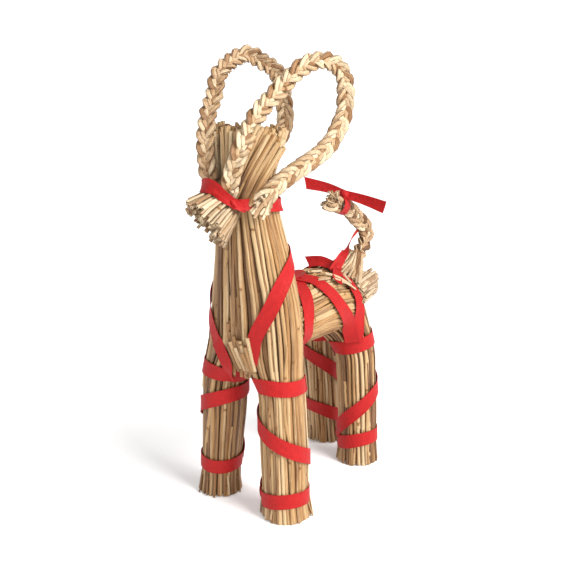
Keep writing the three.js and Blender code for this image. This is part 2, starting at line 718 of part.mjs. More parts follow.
// The torso's ribbon: a girth behind the forelegs, and on each side a band down the flank and one
// over the rump, all gathered in a bow on the back.
let bound = knot(BACK_KNOT, BACK_KNOT_SIZE).add(looseBand(TAIL_STRAND, BOW_STEPS, STRAND_WIDTH));
for (const end of BACK_BOW_TAILS) bound = bound.add(looseBand(end, BOW_STEPS, BOW_RIBBON_WIDTH));
bound = bound.subtract(clearOfTorso);
for (const mirrored of [false, true]) {
  bound = bound
    .add(bodyRibbon(torso, GIRTH_RIBBON, GIRTH_STEPS, { mirrored, lift: GIRTH_LIFT }))
    .add(bodyRibbon(torso, FLANK_RIBBON, FLANK_STEPS, { mirrored, lift: SPIRAL_LIFT }))
    .add(bodyRibbon(torso, RUMP_RIBBON, RUMP_STEPS, { mirrored }));
}
pieces.set("ribbon_torso", [bound, ribbon]);

const bow = knot(TAIL_KNOT, TAIL_KNOT_SIZE)
  .add(tie(TAIL, TAIL_BOW_AT, TAIL_TIE_SIZE))
  .add(looseBand(TAIL_BOW_STRIP, BOW_STEPS, BOW_RIBBON_WIDTH));
const clearOfTail = braid(TAIL, TAIL_WIDTH, TAIL_THICKNESS, TAIL_FLARE, true);
pieces.set("bow_tail", [bow.subtract(clearOfTail), ribbon]);

// Every piece moves together, so that the origin comes under the middle of the bounding box.
// Creases finer than a straw's skin are smoothed away.
const goat = new THREE.Group();
for (const [name, [body, material]] of pieces) {
  const { vertProperties, triVerts } = body.simplify(FINEST).getMesh();
  const geometry = new THREE.BufferGeometry();
  geometry.setAttribute("position", new THREE.BufferAttribute(vertProperties, 3));
  geometry.setIndex(new THREE.BufferAttribute(triVerts, 1));
  geometry.computeVertexNormals();
  const mesh = new THREE.Mesh(geometry, material);
  mesh.name = name;
  goat.add(mesh);
}
const bounds = new THREE.Box3().setFromObject(goat);
const under = bounds.getCenter(new THREE.Vector3()).setZ(bounds.min.z);
for (const mesh of goat.children) mesh.geometry.translate(-under.x, -under.y, -under.z);

export default goat;
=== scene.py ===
"""Straw goat bound with red ribbon.

Bundles of rye straw make the legs, neck, torso and muzzle, the horns and tail are three-strand
plaits of flattened straws, and one woven ribbon binds them. Lengths in the tables are millimetres
in the goat's own frame: it faces -Y, its left side is +X and the ground is z = 0.
"""

import math
import random
from functools import lru_cache

import bmesh
import bpy
import numpy as np
from bpy.props import FloatProperty, FloatVectorProperty, IntProperty, PointerProperty
from bpy.types import Operator, Panel, PropertyGroup
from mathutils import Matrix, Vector


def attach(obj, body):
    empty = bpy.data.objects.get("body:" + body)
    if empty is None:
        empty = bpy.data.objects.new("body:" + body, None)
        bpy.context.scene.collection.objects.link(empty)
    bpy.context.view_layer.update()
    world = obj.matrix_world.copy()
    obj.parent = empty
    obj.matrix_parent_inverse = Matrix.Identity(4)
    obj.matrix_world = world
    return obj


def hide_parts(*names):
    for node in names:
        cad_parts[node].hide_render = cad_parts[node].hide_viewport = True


bl_info = {
    "name": "Straw goat",
    "version": (1, 0, 0),
    "blender": (4, 5, 0),
    "location": "View3D > Sidebar > Straw goat",
    "description": "Builds a straw goat bound with red ribbon around its packed solids",
    "category": "Mesh",
}

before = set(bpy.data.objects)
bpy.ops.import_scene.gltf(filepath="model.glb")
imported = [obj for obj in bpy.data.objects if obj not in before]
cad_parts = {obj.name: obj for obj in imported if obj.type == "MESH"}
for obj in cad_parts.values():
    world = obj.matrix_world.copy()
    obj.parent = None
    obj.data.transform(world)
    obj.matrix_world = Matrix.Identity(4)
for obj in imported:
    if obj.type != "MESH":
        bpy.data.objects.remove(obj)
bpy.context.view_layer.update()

ORIGIN = np.array([0.45, 1.816, 0.0])  # the row's origin, in the goat's frame
MM = 0.001

# ---------------------------------------------------------------- stations
ARC_SHARE = 2 / 3  # share of a leg's straws that end up on the outside of the body
SEAM = 2.0  # how far a half's straws bow past the middle, where the two halves meet
KNEE = 104.0  # s up to which the straws follow the leg's own line
CROWN = 298.0  # s at the last section of the neck
HEAD_CENTRE = np.array([0.0, -70.0, 253.0])
FRAY_ANGLE = math.radians(-148)  # where a ribbon's frayed corner shows on a left leg
TAIL_FACING = (0.9, -0.3, 0)  # the tail's flat side


def stations(names, rows):
    """Named columns over s, which is the first one."""
    return names.split(), np.array(rows, float)


NECK = stations(
    "s y z bodyX halfWidth halfDepth merge",
    [
        (104, -57.5, 104, 2, 46, 18, 0),
        (120, -57.5, 120, 2.5, 45, 19, 0.5),
        (136, -57.5, 136, 3.5, 43.4, 20.5, 1),
        (156, -57.5, 156, 4, 41.5, 21.5, 1),
        (180, -58, 180, 4, 38.2, 22, 1),
        (200, -59.5, 200, 3.5, 33.9, 22, 1),
        (216, -60.5, 216, 3, 30.8, 21, 1),
        (228, -61.5, 228, 2.2, 28.4, 20, 1),
        (241, -62.5, 241, 1.2, 26.2, 18.5, 1),
        (254, -64, 254, -1, 26, 17.5, 1),
        (266, -65, 266, -3, 27.2, 17, 1),
        (282, -65.5, 282, -2.5, 32.3, 18, 1),
        (298, -66, 298, -1, 37, 19, 1),
    ],
)
FORELEG_LEFT = stations(
    "s y z legX legRadius",
    [
        (0, -60, 0, 35.5, 19.2),
        (14, -60, 14, 34.6, 18),
        (50, -59.3, 50, 33, 18.6),
        (80, -58.5, 80, 31, 18.3),
        (104, -57.5, 104, 29, 18),
        (136, -57.5, 136, 25, 18),
    ],
)
FORELEG_RIGHT = stations(
    "s y z legX legRadius",
    [
        (0, -55, 0, 36.3, 17.5),
        (14, -55.3, 14, 35.6, 16),
        (50, -56, 50, 32, 16.8),
        (80, -57, 80, 28.8, 17.8),
        (104, -57.5, 104, 27.5, 18),
        (136, -57.5, 136, 25, 18),
    ],
)
TORSO = stations(
    "s lean bodyX halfWidth halfDepth merge",
    [
        (104, 0, 0, 40.5, 17.5, 0),
        (124, 20, 0, 38.5, 20, 0.5),
        (148, 48, 0, 36, 27, 1),
        (172, 76, 0, 34, 27.5, 1),
        (202, 86, 0, 32.5, 25, 1),
        (265, 90, 0, 32.5, 23, 1),
    ],
)
BACK_LINE_LEFT = stations(
    "s y z",
    [
        (104, 58.5, 104), (124, 54, 123.5), (148, 44, 144.5),
        (172, 23, 150.5), (202, -4, 148.5), (265, -60, 147),
    ],
)
BACK_LINE_RIGHT = stations(
    "s y z",
    [
        (104, 73, 104), (124, 68.5, 123.5), (148, 57, 145),
        (172, 35, 151), (202, 4, 148.5), (265, -60, 147),
    ],
)
HIND_LEG_LEFT = stations(
    "s y z legX legRadius",
    [
        (0, 62.5, 0, 25.5, 17.8),
        (14, 62.7, 14, 25.2, 16.6),
        (55, 62.3, 55, 24.3, 17),
        (84, 60.5, 84, 23.5, 17),
        (104, 58.5, 104, 23, 17.2),
        (148, 45, 140, 19, 18),
    ],
)
HIND_LEG_RIGHT = stations(
    "s y z legX legRadius",
    [
        (0, 87, 0, 25, 17.3),
        (14, 85.5, 14, 25, 16.2),
        (55, 80, 55, 24.3, 16.5),
        (84, 76, 84, 23.5, 17),
        (104, 73, 104, 23, 17.2),
        (148, 60, 142, 19, 18),
    ],
)
# The oval that the torso's lengthwise straws lie on, by how far back it is.
BARREL = stations(
    "s z halfWidth halfDepth",
    [
        (-60, 147, 32.5, 23), (-4, 148.5, 32.5, 25), (23, 150.5, 34, 27.2),
        (44, 150, 35.5, 24), (64, 147, 35, 18),
    ],
)

MUZZLE_ROOT = np.array([-4.0, -74.0, 256.0])
MUZZLE_TIP = np.array([-7.5, -104.0, 239.0])
MUZZLE_TURN = math.radians(28)  # its fan hangs lower on the goat's left
MUZZLE_SECTIONS = stations("s across deep", [(0, 14, 8), (0.4, 17, 12), (0.72, 19.5, 17.5), (1, 21, 21.5)])

HORN_LEFT = [
    (3, -83, 250), (5, -88.5, 262), (9, -89.5, 277), (18.5, -88.5, 298), (18, -72, 316), (21, -52, 331),
    (25, -41, 341), (30, -28, 350), (35, -14, 352.5), (38, 2, 348), (40, 10, 335), (40, 10, 317),
    (40, 3, 303), (40, -15, 288), (38, -37, 279), (34.5, -57, 271), (30, -71, 262.5), (26, -80, 252),
]
HORN_RIGHT = [
    (-8, -83, 250), (-10, -88.5, 262), (-15.5, -89, 276), (-17.5, -88, 297), (-22, -79, 315),
    (-26, -67, 328), (-29, -57, 343), (-31, -38, 352), (-31, -20, 356), (-29, -4, 350),
    (-26, 13, 339), (-22, 17, 313), (-20, 13, 297), (-22, 0, 281), (-25, -22, 268), (-27, -38, 258),
]
TAIL = [
    (1, 92, 168), (1, 95, 176), (1, 104, 184), (0.5, 111, 192), (0, 107.5, 202.5), (0, 92.5, 213.5),
    (0, 79, 223), (0, 61, 229.5), (0, 48, 234),
]

# A winding: a turn at the top, a spiral down, and a turn above the foot. A turn has a height on the
# side that angle names, and a dip on the far side. The spiral gives height by angle.
WINDINGS = {
    "foreleg_left": ((110.5, 8.5, -40), (20, 3.5, 30), [(36, 110), (216, 80), (396, 49), (576, 19)]),
    "foreleg_right": (
        (113.5, 6, -20),
        (30, 2, 60),
        [(-250, 108), (-216, 97), (-126, 92), (-36, 78), (54, 55), (144, 31)],
    ),
    "hind_leg_left": ((116, 5, 40), (26.5, 7, 40), [(-144, 26), (-81, 46), (-7, 66), (36, 72), (216, 106)]),
    "hind_leg_right": (
        (115, 4, 0),
        (38, 12, -30),
        [(-330, 33), (-216, 60), (-126, 84), (-36, 98), (20, 110)],
    ),
}
# Ribbons round a body: s counts along the ribbon, phi goes round from 0 on the goat's left through
# 90 at the rear of the neck or the top of the torso, and at is the place along the body.
CHEST_RIBBON = stations(
    "s phi at",
    [
        (0, -73, 124), (1, -70, 148), (2, -51, 170), (3, -25, 191), (4, 15, 207), (5, 60, 212),
        (6, 110, 205), (7, 160, 186), (8, 200, 166), (9, 235, 141), (10, 260, 120),
    ],
)
GIRTH_RIBBON = stations(
    "s phi at", [(0, -90, 220), (1, -30, 226), (2, 3, 229), (3, 30, 223), (4, 60, 211), (5, 90, 200)]
)
FLANK_RIBBON = stations(
    "s phi at",
    [
        (0, 94, 199), (1, 70, 192), (2, 50, 190), (3, 32, 187),
        (4, 10, 181), (5, -14, 167), (6, -34, 146), (7, -42, 122),
    ],
)
RUMP_RIBBON = stations(
    "s phi at", [(0, 84, 160), (1, 40, 160), (2, 20, 156), (3, 0, 151), (4, -18, 142), (5, -36, 122)]
)
# The head ribbon starts under its own fold, goes round the neck and comes back over. The last
# number is its width.
HEAD_RIBBON = [
    (9, -89.5, 253, 7), (14.5, -87, 252.2, 9), (20, -81, 251.8, 9.5), (25, -74, 251, 9.5),
    (28.5, -63, 250, 9.5), (23, -50.5, 248.5, 10), (8, -44, 251, 11), (-10, -44.5, 254, 11),
    (-25, -50, 257, 9), (-30.5, -64, 259, 6), (-28, -77, 261.2, 5), (-19.5, -91, 263.2, 6),
    (-9, -97, 265.5, 8), (-2, -97, 264.2, 10), (4, -95.5, 259.5, 11), (9, -92.5, 255.2, 9),
    (14, -89, 251.5, 7), (17, -85, 248.5, 5),
]


def sample(table, s):
    """The columns at s, on a smooth line through the stations."""
    names, rows = table
    last = len(rows) - 1
    i = int(np.clip(np.searchsorted(rows[:, 0], s) - 1, 0, last - 1))
    a, b = rows[i], rows[i + 1]
    before, after = rows[max(i - 1, 0)], rows[min(i + 2, last)]
    span = b[0] - a[0]
    t = min(max((s - a[0]) / span, 0.0), 1.0)
    slope_a = (b - before) / (b[0] - before[0]) * span
    slope_b = (after - a) / (after[0] - a[0]) * span
    h = 1 - 3 * t * t + 2 * t**3
    values = h * a + (1 - h) * b + (t - 2 * t * t + t**3) * slope_a + (t**3 - t * t) * slope_b
    return dict(zip(names, values))


class Half:
    """A leg whose straws run on into one side of the body. s counts millimetres along them, and
    theta is 0 facing outwards and a quarter turn facing rearwards on the leg, or upwards on the
    torso."""

    def __init__(self, side, leg, line, body):
        self.side, self.leg, self.line, self.body = side, leg, line, body
        self.section = lru_cache(maxsize=None)(self._section)

    def _section(self, s):
        limb = sample(self.leg, s)
        at = sample(self.body, s)
        centre = limb if s < KNEE else sample(self.line, s)
        at.update(legX=limb["legX"], legRadius=limb["legRadius"], y=centre["y"], z=centre["z"])
        return at

    def point(self, s, theta, lift=0.0):
        """A place on the skin, lifted off it, in the goat's frame."""
        at = self.section(round(float(s), 2))
        turn = math.atan2(math.sin(theta), math.cos(theta))
        radius = at["legRadius"] + lift
        u = at["legX"] + radius * math.cos(turn)
        v = radius * math.sin(turn)
        merge = min(max(at["merge"], 0.0), 1.0)
        if merge > 0:
            limit = math.pi * ARC_SHARE
            if abs(turn) <= limit:
                phi = turn / limit * math.pi / 2
                body_u = (at["halfWidth"] + lift) * math.cos(phi)
                body_v = (at["halfDepth"] + lift) * math.sin(phi)
            else:
                inwards = (abs(turn) - limit) / (math.pi - limit)
                body_u = -SEAM * math.sin(inwards * math.pi / 2)
                body_v = math.copysign(1, turn) * (at["halfDepth"] + lift) * (1 - inwards)
            u += (body_u + self.side * at["bodyX"] - u) * merge
            v += (body_v - v) * merge
        lean = math.radians(at.get("lean", 0.0))
        return np.array([self.side * u, at["y"] + v * math.cos(lean), at["z"] + v * math.sin(lean)])

    def normal(self, s, theta):
        """The way out of the skin."""
        along = self.point(s + 1, theta) - self.point(s - 1, theta)
        across = self.point(s, theta + 0.05) - self.point(s, theta - 0.05)
        return unit(np.cross(across, along) * self.side)


FORE_LEFT = Half(1, FORELEG_LEFT, NECK, NECK)
FORE_RIGHT = Half(-1, FORELEG_RIGHT, NECK, NECK)
HIND_LEFT = Half(1, HIND_LEG_LEFT, BACK_LINE_LEFT, TORSO)
HIND_RIGHT = Half(-1, HIND_LEG_RIGHT, BACK_LINE_RIGHT, TORSO)
NECK_HALVES = (FORE_LEFT, FORE_RIGHT)
TORSO_HALVES = (HIND_LEFT, HIND_RIGHT)
LEGS = {
    "foreleg_left": FORE_LEFT,
    "foreleg_right": FORE_RIGHT,
    "hind_leg_left": HIND_LEFT,
    "hind_leg_right": HIND_RIGHT,
}


def unit(vector):
    """The same way, one long."""
    vector = np.asarray(vector, float)
    return vector / np.maximum(np.linalg.norm(vector, axis=-1, keepdims=True), 1e-9)


def smooth_line(points, count):
    """Evenly spaced places on a smooth line through the points."""
    p = np.asarray(points, float)
    p = np.vstack([2 * p[0] - p[1], p, 2 * p[-1] - p[-2]])
    fine = []
    for i in range(1, len(p) - 2):
        for t in np.linspace(0, 1, 12, endpoint=False):
            fine.append(
                0.5
                * (
                    2 * p[i]
                    + (p[i + 1] - p[i - 1]) * t
                    + (2 * p[i - 1] - 5 * p[i] + 4 * p[i + 1] - p[i + 2]) * t * t
                    + (3 * p[i] - p[i - 1] - 3 * p[i + 1] + p[i + 2]) * t**3
                )
            )
    fine.append(p[-2])
    return evenly(np.array(fine), np.linspace(0, 1, count))


def distances(line):
    """How far along a line each of its points is."""
    steps = np.linalg.norm(np.diff(line, axis=0), axis=1)
    return np.concatenate([[0], np.cumsum(steps)])


def between(wanted, keys, values):
    """The places at the wanted keys, on straight lines through the values given at keys."""
    values = np.asarray(values, float)
    return np.stack([np.interp(wanted, keys, values[:, k]) for k in range(3)], axis=-1)


def evenly(line, shares, values=None):
    """Places at shares of a line's length, or the values given at its points."""
    line = np.asarray(line, float)
    length = distances(line)
    return between(np.asarray(shares) * length[-1], length, line if values is None else values)


def line_length(line):
    """Length of a line of points."""
    return float(np.linalg.norm(np.diff(np.asarray(line, float), axis=0), axis=1).sum())


# ---------------------------------------------------------------- small Blender helpers
def deselect():
    """Nothing is selected, and Blender is in object mode."""
    if bpy.context.object and bpy.context.object.mode != "OBJECT":
        bpy.ops.object.mode_set(mode="OBJECT")
    bpy.ops.object.select_all(action="DESELECT")


def activate(obj):
    """obj alone is selected and active."""
    deselect()
    obj.select_set(True)
    bpy.context.view_layer.objects.active = obj


def select_cap(mesh, height):
    """In edit mode, selects the flat end of a straw at that height."""
    bpy.ops.mesh.select_mode(type="FACE")
    bpy.ops.mesh.select_all(action="DESELECT")
    for face in mesh.faces:
        flat = len(face.verts) == STRAW_SIDES and abs(face.normal.z) > 0.9
        face.select_set(flat and abs(face.calc_center_median().z - height) < 0.001)


def take(obj):
    """The corners and faces of an object made as a pattern, which is then removed."""
    corners = np.array([v.co[:] for v in obj.data.vertices])
    faces = [tuple(p.vertices) for p in obj.data.polygons]
    mesh = obj.data
    bpy.data.objects.remove(obj)
    bpy.data.meshes.remove(mesh)
    return corners, faces


HOLLOW = 0.01  # depth of a straw's hollow on the pattern, whose length is one
STRAW_SIDES = 6


@lru_cache(maxsize=None)
def straw_pattern(segments):
    """One straw, one long and one in radius: a cylinder cut across, with its ends hollowed."""
    deselect()
    bpy.ops.mesh.primitive_cylinder_add(
        vertices=STRAW_SIDES, radius=1, depth=1, location=(0, 0, 0.5), rotation=(0, 0, math.pi / STRAW_SIDES)
    )
    obj = bpy.context.object
    bpy.ops.object.transform_apply(location=True, rotation=True, scale=True)
    bpy.ops.object.mode_set(mode="EDIT")
    mesh = bmesh.from_edit_mesh(obj.data)
    bpy.ops.mesh.select_mode(type="EDGE")
    bpy.ops.mesh.select_all(action="DESELECT")
    for edge in mesh.edges:
        edge.select_set(abs(edge.verts[0].co.z - edge.verts[1].co.z) > 0.5)
    bmesh.update_edit_mesh(obj.data)
    if segments > 1:
        bpy.ops.mesh.subdivide(number_cuts=segments - 1)
    for height, way in ((1.0, -1), (0.0, 1)):
        select_cap(bmesh.from_edit_mesh(obj.data), height)
        bmesh.update_edit_mesh(obj.data)
        bpy.ops.mesh.inset(thickness=0.3, depth=0)
        bpy.ops.mesh.extrude_region_move(TRANSFORM_OT_translate={"value": (0, 0, way * HOLLOW)})
    bpy.ops.object.mode_set(mode="OBJECT")
    return take(obj)


class Bundle:
    """Straws gathered into one mesh, each laid along its own line."""

    STRAW, SHADE = 0, 1  # places in the list of finishes
    FAR_JOINT = 50  # where there is no joint near

    def __init__(self):
        self.corners, self.faces, self.grain, self.marks, self.tone, self.slots = [], [], [], [], [], []
        self.count = 0

    def add(self, corners, faces, grain, marks, tone, slot):
        """Corners and faces, with what the finishes read at each corner."""
        self.corners.append(corners)
        self.faces.extend(tuple(v + self.count for v in face) for face in faces)
        self.grain.append(grain)
        self.marks.append(marks)
        self.tone.append(np.broadcast_to(tone, (len(corners), 4)))
        self.slots.extend([slot] * len(faces))
        self.count += len(corners)

    def lay(self, line, wide, thin, up, rng, segments, tone, hollow=5.0, taper=1.0, joints=None):
        """A straw along a line, wide across and thin along up, in millimetres."""
        pattern, faces = straw_pattern(segments)
        length = line_length(line)
        shares = pattern[:, 2].copy()
        inner = np.linalg.norm(pattern[:, :2], axis=1) < 0.9
        sunk = inner & (np.abs(shares - np.round(shares)) > HOLLOW / 2)
        shares[sunk] = np.where(shares[sunk] < 0.5, hollow / length, 1 - hollow / length)
        fine = np.linspace(0, 1, max(segments * 3, 12))
        places = evenly(line, fine)
        up = np.broadcast_to(np.asarray(up, float), np.asarray(line).shape)
        tangent = unit(between(shares, fine, unit(np.gradient(places, axis=0))))
        normal = between(shares, fine, evenly(line, fine, up))
        normal = unit(normal - (normal * tangent).sum(1, keepdims=True) * tangent)
        across = np.cross(tangent, normal)
        scale = np.interp(shares, [0, 1], [1.0, taper])
        local_x = pattern[:, 0] * wide * scale
        local_y = pattern[:, 1] * thin * scale
        at = between(shares, fine, places)
        corners = at + across * local_x[:, None] + normal * local_y[:, None]
        along = shares * length
        offset = rng.uniform(0, 900)
        grain = np.stack([local_x + offset, local_y + offset * 0.7, along + offset], axis=1)
        first, second = joints or (rng.uniform(-60, 300), rng.uniform(-60, 300))
        end = np.minimum(along, length - along)
        end[sunk] = -hollow
        marks = np.stack([along - first, along - second, end], axis=1)
        tone = np.tile(tone, (len(corners), 1))
        # how far out across the straw each corner lies, which the finish paints darker at the edges as shade
        tone[:, 2] = np.abs(pattern[:, 0])
        self.add(corners, faces, grain, marks, tone, self.STRAW)

    def core(self, rings):
        """The dark inside of a bundle, painted shade seen between its straws, through rings of equal
        count, closed at both ends.
        """
        rings = [np.asarray(r, float) for r in rings]
        n = len(rings[0])
        corners = np.vstack(rings + [rings[0].mean(0)[None], rings[-1].mean(0)[None]])
        faces = []
        for r in range(len(rings) - 1):
            for k in range(n):
                a, b = r * n + k, r * n + (k + 1) % n
                faces.append((a, b, b + n, a + n))
        first, last, top = n * len(rings), n * len(rings) + 1, n * (len(rings) - 1)
        for k in range(n):
            faces.append((first, (k + 1) % n, k))
            faces.append((last, top + k, top + (k + 1) % n))
        flat = np.zeros((len(corners), 3))
        self.add(corners, faces, corners, flat + self.FAR_JOINT, (0.3, 0.5, 0.5, 1.0), self.SHADE)

    def finish(self, name, node, slot, materials, smooth=68):
        """The bundle as one object that rides on the goat and stands for its solid."""
        mesh = bpy.data.meshes.new(name)
        corners = (np.vstack(self.corners) - ORIGIN) * MM
        mesh.from_pydata(corners.tolist(), [], self.faces)
        for key, kind, values in (
            ("grain", "FLOAT_VECTOR", self.grain),
            ("marks", "FLOAT_VECTOR", self.marks),
            ("tone", "FLOAT_COLOR", self.tone),
        ):
            layer = mesh.attributes.new(key, kind, "POINT")
            field = "color" if kind == "FLOAT_COLOR" else "vector"
            layer.data.foreach_set(field, np.vstack(values).astype(np.float32).ravel())
        obj = bpy.data.objects.new(name, mesh)
        bpy.context.scene.collection.objects.link(obj)
        for material in materials:
            mesh.materials.append(material)
        mesh.polygons.foreach_set("material_index", self.slots)
        settle(obj, smooth, node)


def settle(obj, smooth, node):
    """obj gets outward faces, smooth below an angle, rides on the goat and stands for its solid."""
    activate(obj)
    bpy.ops.object.mode_set(mode="EDIT")
    bpy.ops.mesh.select_all(action="SELECT")
    bpy.ops.mesh.normals_make_consistent(inside=False)
    bpy.ops.object.mode_set(mode="OBJECT")
    bpy.ops.object.shade_smooth_by_angle(angle=math.radians(smooth))
    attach(obj, "root")
    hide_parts(node)


# ---------------------------------------------------------------- materials
class Graph:
    """Adds and links shader nodes."""

    def __init__(self, name):
        self.material = bpy.data.materials.new(name)
        self.material.use_nodes = True
        self.nodes = self.material.node_tree.nodes
        self.links = self.material.node_tree.links
        self.shader = self.nodes["Principled BSDF"]

    def put(self, socket, value):
        """Links a socket, or sets the value on it."""
        if isinstance(value, bpy.types.NodeSocket):
            self.links.new(value, socket)
        else:
            socket.default_value = value

    def node(self, kind, *values, **settings):
        """A node with its settings and its inputs in order; None leaves one alone."""
        made = self.nodes.new("ShaderNode" + kind)
        for key, value in settings.items():
            setattr(made, key, value)
        for socket, value in zip([s for s in made.inputs if s.enabled], values):
            if value is not None:
                self.put(socket, value)
        return made

    def attribute(self, name, field):
        """A piece's own attribute."""
        return self.node("Attribute", attribute_name=name, attribute_type="GEOMETRY").outputs[field]

    def math(self, operation, *values):
        """A sum on numbers."""
        return self.node("Math", *values, operation=operation).outputs[0]

    def noise(self, vector, stretch, detail=2.0, roughness=0.5):
        """Cloudy noise from 0 to 1, finer along an axis the more that is stretched."""
        stretched = self.node("VectorMath", vector, stretch, operation="MULTIPLY").outputs[0]
        made = self.node("TexNoise", stretched)
        made.inputs["Scale"].default_value = 1.0
        made.inputs["Detail"].default_value = detail
        made.inputs["Roughness"].default_value = roughness
        return made.outputs["Fac"]

    def span(self, value, low, high, to_low=0.0, to_high=1.0):
        """A value's span moved smoothly onto another."""
        made = self.node("MapRange", value, low, high, to_low, to_high, interpolation_type="SMOOTHSTEP")
        return made.outputs[0]

    def ramp(self, value, *stops):
        """A colour by a value from 0 to 1."""
        made = self.node("ValToRGB", value)
        ramp = made.color_ramp
        while len(ramp.elements) < len(stops):
            ramp.elements.new(0.5)
        for element, (place, colour) in zip(ramp.elements, stops):
            element.position = place
            element.color = (*colour, 1.0)
        return made.outputs[0]

    def mix(self, share, a, b, blend="MIX"):
        """Two colours mixed."""
        made = self.nodes.new("ShaderNodeMix")
        made.data_type = "RGBA"
        made.blend_type = blend
        self.put(made.inputs[0], share)
        self.put(made.inputs[6], a if isinstance(a, bpy.types.NodeSocket) else (*a, 1.0))
        self.put(made.inputs[7], b if isinstance(b, bpy.types.NodeSocket) else (*b, 1.0))
        return made.outputs[2]

    def bump(self, height, strength, distance, normal=None):
        """A normal from a height."""
        made = self.nodes.new("ShaderNodeBump")
        made.inputs["Strength"].default_value = strength
        made.inputs["Distance"].default_value = distance
        self.links.new(height, made.inputs["Height"])
        if normal is not None:
            self.links.new(normal, made.inputs["Normal"])
        return made.outputs[0]

    def surface(self, **inputs):
        """Sets or links the shader's inputs, named with _ for a space, and gives the material."""
        for name, value in inputs.items():
            self.put(self.shader.inputs[name.replace("_", " ")], value)
        return self.material


def straw_material(name, stops, lift=0.0, edges=0.35, painted_crown_light=0.34):
    """Waxy dried straw: streaks along it, brown joints, specks, painted shade at its edges and in its
    hollow ends, and painted light high in the crown. Marks hold the distances to its two joints and
    to its nearer end, and tone its lightness, warmth and edges."""
    found = bpy.data.materials.get(name)
    if found:
        return found
    g = Graph(name)
    grain = g.attribute("grain", "Vector")
    marks = g.node("SeparateXYZ", g.attribute("marks", "Vector")).outputs
    tone = g.node("SeparateColor", g.attribute("tone", "Color")).outputs
    streaks = g.noise(grain, (1.7, 1.7, 0.045), 3.0, 0.65)
    patches = g.noise(grain, (0.12, 0.12, 0.03))
    value = g.math("ADD", g.math("MULTIPLY", streaks, 0.9), g.math("MULTIPLY", patches, 0.42))
    value = g.math("ADD", value, g.math("ADD", tone[0], lift - 0.63))
    # painted light: the straws are lighter where they stand free high in the crown, against the shadow that
    # the horn casts there
    height = g.node("SeparateXYZ", g.node("NewGeometry").outputs["Position"]).outputs[2]
    value = g.math("ADD", value, g.span(height, 0.262, 0.285, 0, painted_crown_light))
    colour = g.ramp(value, *stops)
    # some straws are warmer, others cream, and all are painted darker at their edges, as shade in the gaps
    # between straws
    warm = g.span(tone[1], 0.6, 1.0)
    colour = g.mix(g.math("MULTIPLY", warm, 0.35), colour, (0.93, 0.74, 0.5), "MULTIPLY")
    cream = g.math("MULTIPLY", g.span(tone[1], 0.0, 0.4, 0.55, 0), g.span(value, 0.3, 0.8))
    colour = g.mix(cream, colour, (0.66, 0.51, 0.32))
    colour = g.mix(g.span(tone[2], 0.62, 0.97, 0, edges), colour, (0.13, 0.06, 0.025))
    specks = g.noise(grain, (0.9, 0.9, 0.5), 2.0, 0.7)
    colour = g.mix(g.span(specks, 0.64, 0.74, 0, 0.75), colour, (0.16, 0.075, 0.03))
    # a joint is a brown ring in a darker stretch, and the inside of the hollow end is painted nearly black
    # as shade
    joint = g.math("MINIMUM", g.math("ABSOLUTE", marks[0]), g.math("ABSOLUTE", marks[1]))
    colour = g.mix(g.span(joint, 0.5, 3.5, 0.55, 0), colour, (0.9, 0.68, 0.42), "MULTIPLY")
    colour = g.mix(g.span(joint, 0.5, 1.2, 0.8, 0), colour, (0.17, 0.08, 0.03))
    colour = g.mix(g.span(marks[2], -1.5, -0.2, 0.92, 0), colour, (0.05, 0.022, 0.008))
    fibres = g.noise(grain, (3.2, 3.2, 0.04))
    normal = g.bump(g.math("ADD", fibres, specks), 0.6, 0.0006)
    return g.surface(
        Base_Color=colour,
        Roughness=g.span(streaks, 0.3, 0.75, 0.34, 0.56),
        Specular_IOR_Level=0.3,
        Normal=g.bump(g.span(joint, 0.2, 1.6, 1, 0), 0.6, 0.0006, normal),
    )


def core_material():
    """The brown shade between straws."""
    found = bpy.data.materials.get("straw shade")
    if found:
        return found
    g = Graph("straw shade")
    lines = g.noise(g.attribute("grain", "Vector"), (0.6, 0.6, 0.05))
    return g.surface(
        Base_Color=g.ramp(lines, (0.35, (0.05, 0.025, 0.01)), (0.7, (0.22, 0.11, 0.045))),
        Roughness=0.85,
        Normal=g.bump(lines, 0.5, 0.001),
    )


def straw_finishes():
    """Golden straw and the shade between."""
    colours = bpy.context.scene.goat_colours
    return [
        straw_material(
            "golden straw",
            (
                (0.0, tuple(colours.straw_brown)),
                (0.3, (0.19, 0.09, 0.036)),
                (0.55, tuple(colours.straw_gold)),
                (0.76, (0.46, 0.28, 0.125)),
                (1.0, tuple(colours.straw_pale)),
            ),
        ),
        core_material(),
    ]


def plait_finishes():
    """Pale straw as in the plaits, and the shade between."""
    return [
        straw_material(
            "pale plaited straw",
            (
                (0.0, (0.13, 0.06, 0.025)),
                (0.3, (0.29, 0.155, 0.07)),
                (0.52, (0.45, 0.31, 0.18)),
                (0.75, (0.59, 0.46, 0.3)),
                (1.0, (0.7, 0.55, 0.36)),
            ),
            lift=0.03,
            # painted shade at the straws' edges is stronger in the plaits, between their strands
            edges=0.8,
            painted_crown_light=0.0,
        ),
        core_material(),
    ]


RIB_PITCH = 0.55  # from rib to rib of the weave, in millimetres
THREAD_PITCH = 0.32  # from thread to thread across it


